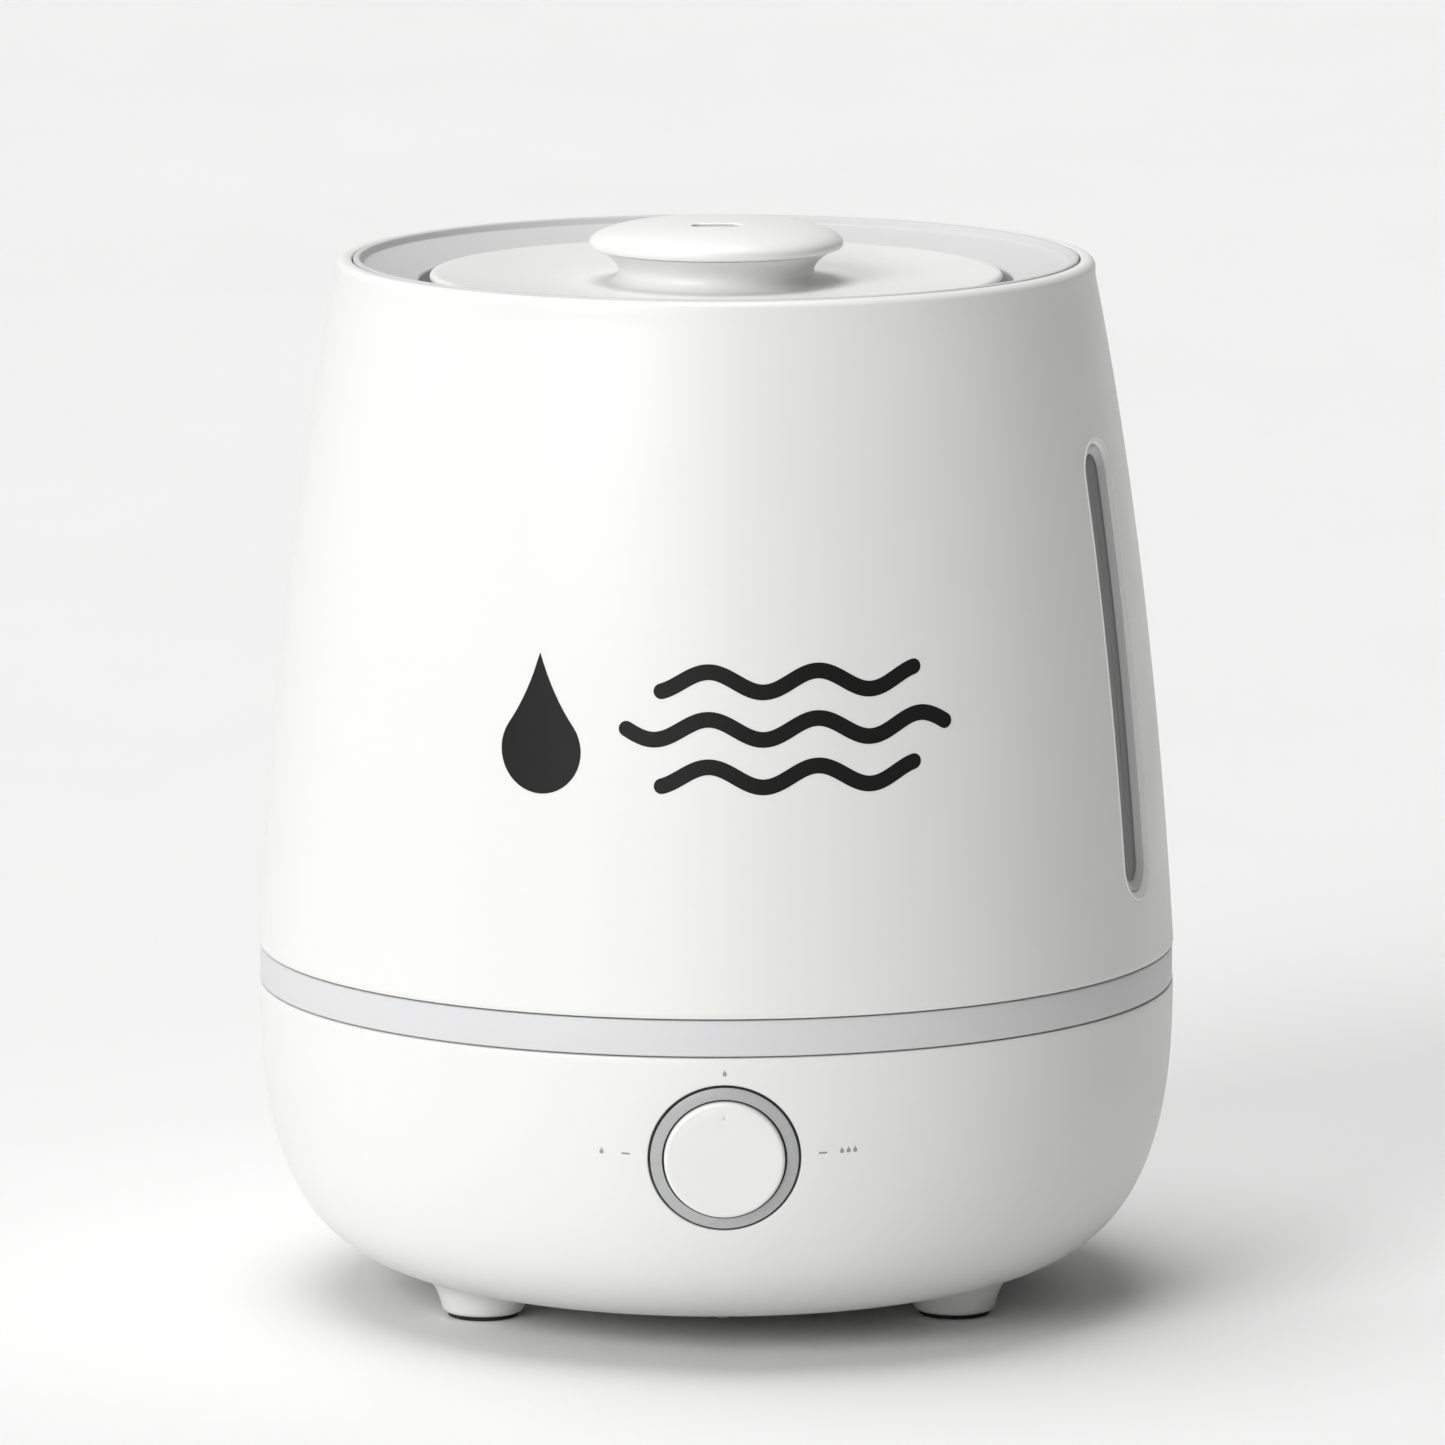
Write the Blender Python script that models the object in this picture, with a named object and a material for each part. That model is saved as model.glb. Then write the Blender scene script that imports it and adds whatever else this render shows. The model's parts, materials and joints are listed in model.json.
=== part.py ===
"""Cool mist humidifier: a top-fill tank on a round base, built as separate sub-parts.

Lengths in this script are millimetres; each mesh is turned into metres when it is made.
+Z is up, the dial faces -Y, and the origin is on the floor under the middle of the base.
"""

from math import acos, cos, pi, radians, sin, sqrt

import bmesh
import bpy
from mathutils import Matrix, Vector

MM = 0.001
GAP = 0.3                      # clearance between neighbouring pieces
FINE = 32                      # sides of the large round pieces
MEDIUM = 20                    # sides of the middle-sized round pieces
SMALL = 10                     # sides of posts, screws and pins

# Heights above the floor
BAND_BOTTOM = 84.25
BAND_TOP = 93.5
SEAM = 0.4                     # dark seam above and below the band

# Base bowl: a superellipse of revolution
BOWL_RADIUS = 120.75
BOWL_DEPTH = 78.0
BOWL_SIDE_POWER = 2 / 6.69
BOWL_FLOOR_POWER = 2 / 2.45
BOWL_WALL = 2.5
BOWL_MOUTH = 88.3              # radius of the opening under the bowl
LEDGE_INNER = 76.0
LEDGE_BOTTOM = 13.4
LEDGE_TOP = 16.0
COVER_FLOOR_TOP = 9.4
COVER_GAP = 0.35               # between the cover's edge and the bowl
GRILLE_RADIUS = 24.5
GRILLE_PITCH = 6.4
GRILLE_SLOT = 3.2

# Trim band
BAND_RADIUS = 120.5

# Tank
TANK_HEIGHT = 178.0            # from the band to where the rim starts to round
TANK_FOOT_RADIUS = 120.0
TANK_WALL = 2.4
TANK_FLOOR_BOTTOM = 96.5
TANK_FLOOR_TOP = 99.5
TUBE_OUTER = 19.0
TUBE_INNER = 17.0
TUBE_BOTTOM = 86.0
TUBE_TOP = 262.0

# Level window
WINDOW_ANGLE = 66.3            # degrees from the front towards +X
WINDOW_WIDTH = 17.8
WINDOW_BOTTOM = 112.4
WINDOW_TOP = 232.1
WINDOW_RECESS = 1.2
WINDOW_THICKNESS = 1.9

# Lid and nozzle
LID_RADIUS = 75.05
LID_TOP = 270.95
LID_DISH = 268.3               # lowest height of the dished top
SKIRT_OUTER = 69.4
SKIRT_INNER = 67.5
SKIRT_BOTTOM = 257.0
SKIRT_TOP = 267.8
COLLAR_OUTER = 21.6
COLLAR_INNER = 19.6
COLLAR_BOTTOM = 252.0
GUARD_TOP = 271.8
NECK_WAIST = 25.7
NECK_WAIST_HEIGHT = 271.5
NECK_TOP = 276.9
CAP_RADIUS = 33.3
CAP_EQUATOR = 278.3
CAP_RISE = 6.4
CAP_POWER = 2 / 2.25
CAP_SKIRT_OUTER = 26.4
CAP_SKIRT_INNER = 24.8
CAP_SKIRT_BOTTOM = 275.2
SLIT_LENGTH = 13.0
SLIT_WIDTH = 4.6
SLIT_OFFSET = 11.3             # towards the front

# Dial
DIAL_HEIGHT = 57.35
DIAL_SURFACE = 119.35          # distance of the bowl's skin from the axis at the dial
DIAL_TILT = 8.0                # degrees below level
DIAL_GAP = 0.45                # dark gap round the bezel and round the knob
BEZEL_RADIUS = 19.0
BEZEL_SUNK = 0.8
BEZEL_SEAT = 5.2               # depth of the seat behind the knob
BEZEL_BACK = 7.2
KNOB_RADIUS = 15.45
KNOB_PROUD = 1.3
KNOB_DEPTH = 4.6
KNOB_WALL = 1.6
DIMPLE_OFFSET = 11.7
POT_SIZE = 17.0
POT_FRONT = 7.6
POT_BACK = 16.6
SHAFT_RADIUS = 3.0

# Basin
BASIN_RADIUS = 97.0
BASIN_WALL = 2.2
BASIN_BOTTOM = 57.5
BASIN_FLOOR = 60.0
BASIN_RIM = 88.0
BASIN_RIM_TOP = 90.6
BASIN_RIM_RADIUS = 117.4
AIR_TOWER_OUTER = 14.5
AIR_TOWER_INNER = 12.0
AIR_TOWER_TOP = 86.0
MIST_WELL_RADIUS = 9.0
WEIR_OUTER = 23.5
WEIR_INNER = 22.0
WEIR_TOP = 66.0

# Places of the working parts, seen from above
FAN_Y = 42.0
VALVE = (62.0, 30.0)
FLOAT = (-58.0, 25.0)
BOARD_Y = -39.0
FOOT_X = 61.8
FOOT_Y = 37.0
COVER_SCREW_RADIUS = 82.0
TRANSDUCER_SCREW_RADIUS = 16.0
COVER_SCREW_ANGLES = (0, 90, 180, 270)
TRANSDUCER_SCREW_ANGLES = (0, 180)
FAN_SCREW_PITCH = 25.0
BOARD_SCREW_X = 30.0
BOARD_SCREW_Y = 19.0

# Fan
FAN_SIZE = 60.0
FAN_BOTTOM = 22.0
FAN_TOP = 37.0
FAN_BORE = 28.0
FAN_BLADES = 7
FAN_ARM_WIDTH = 3.0

# Driver board and what stands on it
BOARD_LENGTH = 72.0
BOARD_WIDTH = 50.0
BOARD_BOTTOM = 26.3
BOARD_TOP = 27.9
SINK_LEFT = -27.0
SINK_FRONT = -53.0
SINK_REAR = -27.0
SINK_FINS = 6
SINK_FIN_PITCH = 6.1
LEAD_RADIUS = 1.1

# Power inlet
INLET_HEIGHT = 42.0
INLET_FACE = 116.4
INLET_NOSE = 6.0
INLET_BODY = 8.0
INLET_SOCKET = 3.1


# ---------------------------------------------------------------- scene and materials

def clear_scene():
    for item in list(bpy.data.objects):
        bpy.data.objects.remove(item, do_unlink=True)


def make_material(name, colour, roughness, metallic=0.0, alpha=1.0):
    material = bpy.data.materials.new(name)
    material.use_nodes = True
    shader = material.node_tree.nodes["Principled BSDF"]
    shader.inputs["Base Color"].default_value = (*colour, 1.0)
    shader.inputs["Roughness"].default_value = roughness
    shader.inputs["Metallic"].default_value = metallic
    shader.inputs["Alpha"].default_value = alpha
    return material


# ---------------------------------------------------------------- mesh helpers

def place(x=0.0, y=0.0, z=0.0):
    return Matrix.Translation((x, y, z))


def add_revolve(mesh, outline, sides, matrix=None):
    """Spin a closed (radius, height) outline right round the Z axis."""
    points = [mesh.verts.new((r, 0.0, z)) for r, z in outline]
    count = len(points)
    edges = [mesh.edges.new((points[i], points[(i + 1) % count])) for i in range(count)]
    made = bmesh.ops.spin(
        mesh, geom=points + edges, cent=(0, 0, 0), axis=(0, 0, 1),
        angle=2 * pi, steps=sides, use_merge=True)
    turned = {v for v in made["geom_last"] if isinstance(v, bmesh.types.BMVert)}
    shell = set(points) | turned
    grew = True
    while grew:
        reached = {e.other_vert(v) for v in shell for e in v.link_edges}
        grew = not reached <= shell
        shell |= reached
    on_axis = [v for v in shell if v.co.xy.length < 1e-5]
    bmesh.ops.remove_doubles(mesh, verts=on_axis, dist=1e-4)
    shell = [v for v in shell if v.is_valid]
    if matrix is not None:
        bmesh.ops.transform(mesh, matrix=matrix, verts=shell)


def add_tube(mesh, outer, inner, bottom, top, sides, matrix=None):
    outline = [(inner, bottom), (outer, bottom), (outer, top), (inner, top)]
    add_revolve(mesh, outline, sides, matrix)


def add_rod(mesh, radius, bottom, top, sides, matrix=None):
    turn = matrix if matrix is not None else Matrix.Identity(4)
    middle = turn @ place(z=(bottom + top) / 2)
    bmesh.ops.create_cone(
        mesh, cap_ends=True, segments=sides, radius1=radius, radius2=radius,
        depth=top - bottom, matrix=middle)


def add_box(mesh, low, high, matrix=None):
    size = Vector(high) - Vector(low)
    middle = (Vector(high) + Vector(low)) / 2
    turn = matrix if matrix is not None else Matrix.Identity(4)
    scale = Matrix.Diagonal((*size, 1.0))
    bmesh.ops.create_cube(mesh, size=1.0, matrix=turn @ Matrix.Translation(middle) @ scale)


def add_stadium(mesh, length, width, bottom, top, sides, matrix=None):
    """A prism along Z whose section is a slot with round ends, its length along X."""
    radius = width / 2
    reach = length / 2 - radius
    ring = []
    for end, start in ((1, -pi / 2), (-1, pi / 2)):
        for i in range(sides + 1):
            angle = start + pi * i / sides
            ring.append((end * reach + radius * cos(angle), radius * sin(angle)))
    low = [mesh.verts.new((x, y, bottom)) for x, y in ring]
    face = mesh.faces.new(low)
    grown = bmesh.ops.extrude_face_region(mesh, geom=[face])["geom"]
    lifted = [v for v in grown if isinstance(v, bmesh.types.BMVert)]
    bmesh.ops.translate(mesh, vec=(0, 0, top - bottom), verts=lifted)
    if matrix is not None:
        bmesh.ops.transform(mesh, matrix=matrix, verts=low + lifted)


def finish_mesh(name, mesh, smooth=True):
    """Turn a bmesh in millimetres into mesh data in metres, with its faces out."""
    bmesh.ops.recalc_face_normals(mesh, faces=mesh.faces)
    bmesh.ops.scale(mesh, vec=(MM, MM, MM), verts=mesh.verts)
    data = bpy.data.meshes.new(name)
    mesh.to_mesh(data)
    mesh.free()
    if smooth:
        data.shade_smooth()
        data.set_sharp_from_angle(angle=radians(35))
    return data


def make_object(name, mesh, material, location=(0, 0, 0), parent=None, smooth=True):
    thing = bpy.data.objects.new(name, finish_mesh(name, mesh, smooth))
    thing.data.materials.append(material)
    thing.location = Vector(location) * MM
    thing.parent = parent
    bpy.context.scene.collection.objects.link(thing)
    return thing


def make_tool(name, mesh, parent=None):
    """A cutter or joiner that is left out of the model itself."""
    tool = bpy.data.objects.new(name, finish_mesh(name, mesh, smooth=False))
    tool.hide_render = True
    tool.display_type = "WIRE"
    tool.parent = parent
    bpy.context.scene.collection.objects.link(tool)
    return tool


def apply_tool(thing, tool, operation):
    modifier = thing.modifiers.new(tool.name, "BOOLEAN")
    modifier.operation = operation
    modifier.solver = "EXACT"
    modifier.object = tool


def cut(thing, mesh, parent=None):
    apply_tool(thing, make_tool(thing.name + "_cutter", mesh, parent), "DIFFERENCE")


def join(thing, mesh, parent=None):
    apply_tool(thing, make_tool(thing.name + "_joiner", mesh, parent), "UNION")


def make_axis(name, location, rotation=(0, 0, 0)):
    empty = bpy.data.objects.new(name, None)
    empty.location = Vector(location) * MM
    empty.rotation_euler = rotation
    bpy.context.scene.collection.objects.link(empty)
    return empty


def arc(centre, radius, start, end, steps):
    """Points on an arc in the (radius, height) plane; angles in degrees."""
    points = []
    for i in range(steps + 1):
        angle = radians(start + (end - start) * i / steps)
        points.append((centre[0] + radius * cos(angle), centre[1] + radius * sin(angle)))
    return points


def offset_inwards(outline, distance):
    """Shift an open outline sideways, to the left of its direction of travel."""
    shifted = []
    last = len(outline) - 1
    for i, (r, z) in enumerate(outline):
        before = outline[max(i - 1, 0)]
        after = outline[min(i + 1, last)]
        run = Vector((after[0] - before[0], after[1] - before[1])).normalized()
        shifted.append((r - run.y * distance, z + run.x * distance))
    return shifted


def ring_places(radius, angles):
    return [(radius * cos(radians(a)), radius * sin(radians(a))) for a in angles]


def fan_screw_places():
    """Two opposite corners of the fan frame."""
    return [(s * FAN_SCREW_PITCH, FAN_Y + s * FAN_SCREW_PITCH) for s in (-1, 1)]


def board_screw_places():
    """Two opposite corners of the driver board."""
    return [(s * BOARD_SCREW_X, BOARD_Y - s * BOARD_SCREW_Y) for s in (-1, 1)]


# ---------------------------------------------------------------- shared outlines

def bowl_point(angle):
    """A point of the bowl's outer skin: 0 at the band, 90 under the middle."""
    side = max(cos(radians(angle)), 0.0) ** BOWL_SIDE_POWER
    drop = sin(radians(angle)) ** BOWL_FLOOR_POWER
    return (BOWL_RADIUS * side, BAND_BOTTOM - BOWL_DEPTH * drop)


def bowl_angle(radius):
    return acos((radius / BOWL_RADIUS) ** (1 / BOWL_SIDE_POWER)) * 180 / pi


def bowl_outline(start, end, steps):
    return [bowl_point(start + (end - start) * i / steps) for i in range(steps + 1)]


def tank_radius(height):
    """Radius of the tank's outer skin at a height above the floor."""
    t = (height - BAND_TOP) / TANK_HEIGHT
    return TANK_FOOT_RADIUS * (1 - 0.0909 * t - 0.0649 * t ** 2 - 0.0244 * t ** 3) + 0.8


def tank_outline(bottom, top, steps, inset=0.0):
    heights = [bottom + (top - bottom) * i / steps for i in range(steps + 1)]
    return [(tank_radius(z) - inset, z) for z in heights]


def window_frame():
    """Matrix that points local Z out through the window and local X up."""
    angle = radians(WINDOW_ANGLE)
    out = Vector((sin(angle), -cos(angle), 0))
    up = Vector((0, 0, 1))
    side = out.cross(up)
    turn = Matrix((up, side, out)).transposed().to_4x4()
    return Matrix.Translation((0, 0, (WINDOW_BOTTOM + WINDOW_TOP) / 2)) @ turn


# ---------------------------------------------------------------- base

def make_base_shell(material, dial_axis, inlet_axis):
    mouth = bowl_angle(BOWL_MOUTH)
    outer = bowl_outline(0, mouth, 9)
    outer[0] = (BOWL_RADIUS, BAND_BOTTOM - SEAM)
    inner = offset_inwards(bowl_outline(0, 57, 6), -BOWL_WALL)
    inner[0] = (BOWL_RADIUS - BOWL_WALL, BAND_BOTTOM - SEAM)
    ledge = [
        (BOWL_MOUTH, LEDGE_BOTTOM), (LEDGE_INNER, LEDGE_BOTTOM),
        (LEDGE_INNER, LEDGE_TOP), (95.5, LEDGE_TOP)]
    mesh = bmesh.new()
    add_revolve(mesh, outer + ledge + inner[::-1], FINE)
    shell = make_object("base_shell", mesh, material)

    posts = bmesh.new()
    holes = bmesh.new()
    for x, y in ring_places(COVER_SCREW_RADIUS, COVER_SCREW_ANGLES):
        add_rod(posts, 4.2, LEDGE_TOP - 1, 27, SMALL, place(x, y))
        add_rod(holes, 1.7, LEDGE_BOTTOM - 1, 25, SMALL, place(x, y))
    join(shell, posts)
    cut(shell, holes)

    opening = bmesh.new()
    add_rod(opening, BEZEL_RADIUS + DIAL_GAP, -12, 6, 32)
    cut(shell, opening, dial_axis)
    socket = bmesh.new()
    add_rod(socket, INLET_NOSE + 0.4, -12, 6, 16)
    cut(shell, socket, inlet_axis)


def make_trim_ring(material):
    outline = [
        (115.6, 80.0), (117.9, 80.0), (117.9, BAND_BOTTOM), (BAND_RADIUS, BAND_BOTTOM),
        (BAND_RADIUS, BAND_TOP), (117.8, BAND_TOP), (117.8, BASIN_RIM - GAP),
        (115.6, BASIN_RIM - GAP)]
    mesh = bmesh.new()
    add_revolve(mesh, outline, FINE)
    make_object("trim_ring", mesh, material)


def make_bottom_cover(material):
    edge = BOWL_MOUTH - COVER_GAP
    top = LEDGE_BOTTOM - GAP
    outline = bowl_outline(90, bowl_angle(edge), 5)
    outline[0] = (0.0, BAND_BOTTOM - BOWL_DEPTH)
    outline += [(edge, top), (75.7, top), (74.0, COVER_FLOOR_TOP), (0.0, COVER_FLOOR_TOP)]
    mesh = bmesh.new()
    add_revolve(mesh, outline, FINE)
    cover = make_object("bottom_cover", mesh, material)

    posts = bmesh.new()
    add_tube(posts, 29.8, 27.8, COVER_FLOOR_TOP - 1, 21.7, MEDIUM, place(0, FAN_Y))
    for x, y in fan_screw_places():
        add_rod(posts, 3.2, COVER_FLOOR_TOP - 1, 21.7, SMALL, place(x, y))
    for x, y in board_screw_places():
        add_rod(posts, 3.0, COVER_FLOOR_TOP - 1, 26, SMALL, place(x, y))
    join(cover, posts)

    holes = bmesh.new()
    for x, y in ring_places(COVER_SCREW_RADIUS, COVER_SCREW_ANGLES):
        counterbore = [(0, 4), (3.7, 4), (3.7, 10.9), (1.7, 10.9), (1.7, 15), (0, 15)]
        add_revolve(holes, counterbore, SMALL, place(x, y))
    for x, y in fan_screw_places():
        add_rod(holes, 1.6, 12, 24, 8, place(x, y))
    for x, y in board_screw_places():
        add_rod(holes, 1.5, 17, 28, 8, place(x, y))
    for row in range(-3, 4):
        shift = GRILLE_PITCH * row
        reach = sqrt(GRILLE_RADIUS ** 2 - shift ** 2)
        front = FAN_Y + shift - GRILLE_SLOT / 2
        add_box(holes, (-reach, front, 2), (reach, front + GRILLE_SLOT, 12))
    cut(cover, holes)


def make_feet(material, pad_material):
    foot_side = [(0, 1.1), (9.2, 1.1), (10.4, 1.8), (11.1, 3.2), (13.9, 13.0), (0, 13.0)]
    pad_side = [(0, 0), (9.0, 0), (9.2, 0.3), (9.2, 0.8), (0, 0.8)]
    above = [(r, z - GAP) for r, z in bowl_outline(90, bowl_angle(100), 7)]
    above[0] = (0.0, BAND_BOTTOM - BOWL_DEPTH - GAP)
    corners = [(x, y) for y in ("front", "rear") for x in ("left", "right")]
    for side, end in corners:
        corner = end + "_" + side
        x = FOOT_X if side == "right" else -FOOT_X
        y = FOOT_Y if end == "rear" else -FOOT_Y
        spot = (x, y, 0)
        mesh = bmesh.new()
        add_revolve(mesh, foot_side, 16, place(*spot))
        foot = make_object("foot_" + corner, mesh, material)
        trimmer = bmesh.new()
        add_revolve(trimmer, above + [(100.0, 40.0), (0.0, 40.0)], FINE)
        cut(foot, trimmer)
        mesh = bmesh.new()
        add_revolve(mesh, pad_side, 14)
        make_object("foot_pad_" + corner, mesh, pad_material, spot)


def make_basin(material):
    inner = BASIN_RADIUS - BASIN_WALL
    outline = [
        (0, BASIN_BOTTOM), (inner, BASIN_BOTTOM), (BASIN_RADIUS, BASIN_BOTTOM + BASIN_WALL),
        (BASIN_RADIUS, BASIN_RIM), (BASIN_RIM_RADIUS, BASIN_RIM),
        (BASIN_RIM_RADIUS, BASIN_RIM_TOP), (inner, BASIN_RIM_TOP),
        (inner, BASIN_FLOOR + 2), (inner - 2, BASIN_FLOOR), (0, BASIN_FLOOR)]
    mesh = bmesh.new()
    add_revolve(mesh, outline, FINE)
    basin = make_object("basin", mesh, material)

    posts = bmesh.new()
    add_rod(posts, AIR_TOWER_OUTER, BASIN_FLOOR - 1, AIR_TOWER_TOP, MEDIUM, place(0, FAN_Y))
    add_rod(posts, 2.5, BASIN_FLOOR - 1, 83.7, SMALL, place(*VALVE))
    add_rod(posts, 2.4, BASIN_FLOOR - 1, 82, SMALL, place(*FLOAT))
    for x, y in ring_places(TRANSDUCER_SCREW_RADIUS, TRANSDUCER_SCREW_ANGLES):
        add_rod(posts, 3.0, 54.4, BASIN_BOTTOM + 1, SMALL, place(x, y))
    add_tube(posts, WEIR_OUTER, WEIR_INNER, BASIN_FLOOR - 1, WEIR_TOP, MEDIUM)
    join(basin, posts)

    holes = bmesh.new()
    add_rod(holes, AIR_TOWER_INNER, 50, 90, MEDIUM, place(0, FAN_Y))
    add_rod(holes, MIST_WELL_RADIUS, 50, 62, MEDIUM)
    add_box(holes, (-3, -26, 60.5), (3, -20, 70))
    for x, y in ring_places(TRANSDUCER_SCREW_RADIUS, TRANSDUCER_SCREW_ANGLES):
        add_rod(holes, 1.6, 53, 57.3, 8, place(x, y))
    cut(basin, holes)


def make_float(body_material, magnet_material, clip_material):
    mesh = bmesh.new()
    outline = [(2.9, 60.5), (10.5, 60.5), (11.5, 61.5), (11.5, 69.5), (10.5, 70.5), (2.9, 70.5)]
    add_revolve(mesh, outline, 20)
    make_object("float_body", mesh, body_material, (*FLOAT, 0))
    mesh = bmesh.new()
    add_tube(mesh, 6.5, 3.0, 70.8, 73.0, 16)
    make_object("float_magnet", mesh, magnet_material, (*FLOAT, 0))
    mesh = bmesh.new()
    add_tube(mesh, 6.0, 2.75, 79.0, 80.5, 16)
    make_object("float_clip", mesh, clip_material, (*FLOAT, 0))


# ---------------------------------------------------------------- mist maker

def make_transducer(disc_material, seal_material, holder_material):
    mesh = bmesh.new()
    add_rod(mesh, 10.0, 54.3, 55.4, MEDIUM)
    make_object("transducer_disc", mesh, disc_material)
    mesh = bmesh.new()
    add_tube(mesh, 12.0, 7.5, 55.7, 57.2, MEDIUM)
    make_object("transducer_seal", mesh, seal_material)
    mesh = bmesh.new()
    add_tube(mesh, 19.5, 6.0, 52.0, 54.0, MEDIUM)
    holder = make_object("transducer_holder", mesh, holder_material)
    holes = bmesh.new()
    for x, y in ring_places(TRANSDUCER_SCREW_RADIUS, TRANSDUCER_SCREW_ANGLES):
        add_rod(holes, 1.7, 50, 56, 8, place(x, y))
    cut(holder, holes)


def make_screw_set(name, spots, seat, tip, material):
    """Pan-head screws whose heads rest at the seat height and whose shanks run to the tip."""
    way = 1 if seat > tip else -1
    head = [(0, 1.8 * way), (1.9, 1.8 * way), (2.7, 1.0 * way), (2.7, 0)]
    shank = [(1.2, 0), (1.2, tip - seat + 0.8 * way), (0, tip - seat)]
    mesh = bmesh.new()
    add_revolve(mesh, head + shank, 8)
    data = finish_mesh(name, mesh)
    data.materials.append(material)
    for number, (x, y) in enumerate(spots, 1):
        screw = bpy.data.objects.new(name + "_" + str(number), data)
        screw.location = Vector((x, y, seat)) * MM
        bpy.context.scene.collection.objects.link(screw)


def make_screws(material):
    ring = ring_places(COVER_SCREW_RADIUS, COVER_SCREW_ANGLES)
    make_screw_set("cover_screw", ring, 10.6, 23.5, material)
    ring = ring_places(TRANSDUCER_SCREW_RADIUS, TRANSDUCER_SCREW_ANGLES)
    make_screw_set("transducer_screw", ring, 51.7, 57.0, material)
    make_screw_set("fan_screw", fan_screw_places(), 37.3, 13.0, material)
    make_screw_set("board_screw", board_screw_places(), 28.2, 19.0, material)


# ---------------------------------------------------------------- fan and air path

def make_fan_frame(material):
    half = FAN_SIZE / 2
    mesh = bmesh.new()
    add_box(mesh, (-half, FAN_Y - half, FAN_BOTTOM), (half, FAN_Y + half, FAN_TOP))
    frame = make_object("fan_frame", mesh, material, smooth=False)
    bore = bmesh.new()
    add_rod(bore, FAN_BORE, 20, 40, MEDIUM, place(0, FAN_Y))
    for x, y in fan_screw_places():
        add_rod(bore, 1.7, 20, 40, 8, place(x, y))
    cut(frame, bore)
    hub = bmesh.new()
    add_rod(hub, 9.0, 22.2, 24.0, 16, place(0, FAN_Y))
    join(frame, hub)
    for turn in (0, 60, 120):
        arm = bmesh.new()
        spin = place(0, FAN_Y) @ Matrix.Rotation(radians(turn), 4, "Z")
        side = FAN_ARM_WIDTH / 2
        add_box(arm, (1 - half, -side, 22.4), (half - 1, side, 23.8), spin)
        join(frame, arm)
    pin = bmesh.new()
    add_rod(pin, 1.5, 23, 35.0, SMALL, place(0, FAN_Y))
    join(frame, pin)


def make_fan_rotor(material):
    mesh = bmesh.new()
    hub = [
        (1.8, 25.0), (11.0, 25.0), (11.0, 35.6), (9.8, 36.6), (0.0, 36.6), (0.0, 35.5),
        (1.8, 35.5)]
    add_revolve(mesh, hub, MEDIUM)
    rotor = make_object("fan_rotor", mesh, material, (0, FAN_Y, 0), smooth=False)
    blades = bmesh.new()
    for i in range(FAN_BLADES):
        spin = Matrix.Rotation(2 * pi * i / FAN_BLADES, 4, "Z")
        pitch = Matrix.Rotation(radians(38), 4, "X")
        add_box(blades, (10.0, -6.6, -0.6), (26.4, 6.6, 0.6), spin @ place(z=30.8) @ pitch)
    tool = make_tool("fan_rotor_blades", blades)
    tool.location = (0, FAN_Y * MM, 0)
    apply_tool(rotor, tool, "UNION")


def make_air_duct(material):
    outline = [
        (28.0, 37.3), (30.0, 37.3), (30.0, 40.0), (15.5, 53.0), (15.5, 57.2),
        (13.3, 57.2), (13.3, 53.5), (28.0, 40.5)]
    mesh = bmesh.new()
    add_revolve(mesh, outline, MEDIUM)
    make_object("air_duct", mesh, material, (0, FAN_Y, 0))


def make_intake_filter(material):
    mesh = bmesh.new()
    add_rod(mesh, 27.4, 10.0, 15.0, MEDIUM)
    make_object("intake_filter", mesh, material, (0, FAN_Y, 0), smooth=False)


# ---------------------------------------------------------------- electronics

def make_driver_board(board, metal, winding, can):
    half_length = BOARD_LENGTH / 2
    front = BOARD_Y - BOARD_WIDTH / 2
    mesh = bmesh.new()
    add_box(
        mesh, (-half_length, front, BOARD_BOTTOM), (half_length, front + BOARD_WIDTH, BOARD_TOP))
    plate = make_object("driver_board", mesh, board, smooth=False)
    holes = bmesh.new()
    for x, y in board_screw_places():
        add_rod(holes, 1.6, 25, 29, 8, place(x, y))
    cut(plate, holes)

    mesh = bmesh.new()
    seat = BOARD_TOP + GAP
    sink_right = SINK_LEFT + SINK_FIN_PITCH * (SINK_FINS - 1) + 1.5
    add_box(mesh, (SINK_LEFT, SINK_FRONT, seat), (sink_right, SINK_REAR, seat + 3))
    sink = make_object("heat_sink", mesh, metal, smooth=False)
    fins = bmesh.new()
    for i in range(SINK_FINS):
        left = SINK_LEFT + SINK_FIN_PITCH * i
        add_box(fins, (left + 0.01, SINK_FRONT + 0.1, 30), (left + 1.49, SINK_REAR - 0.1, 43))
    join(sink, fins)

    mesh = bmesh.new()
    add_revolve(mesh, arc((6.5, 0), 2.8, 0, 300, 5), 16, place(18, -29, 31.1))
    make_object("driver_coil", mesh, winding)
    mesh = bmesh.new()
    add_rod(mesh, 5.0, seat, 42.0, 16)
    make_object("driver_capacitor", mesh, can, (18, -48, 0))


def make_inlet(material, inlet_axis):
    outline = [
        (INLET_SOCKET, 0), (INLET_NOSE, 0), (INLET_NOSE, -11.0), (INLET_BODY, -11.0),
        (INLET_BODY, -20.5), (0, -20.5), (0, -10.5), (INLET_SOCKET, -10.5)]
    mesh = bmesh.new()
    add_revolve(mesh, outline, MEDIUM)
    jack = make_object("power_inlet", mesh, material, parent=inlet_axis)
    pin = bmesh.new()
    add_rod(pin, 1.0, -11, -1.5, 8)
    join(jack, pin, inlet_axis)


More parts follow.
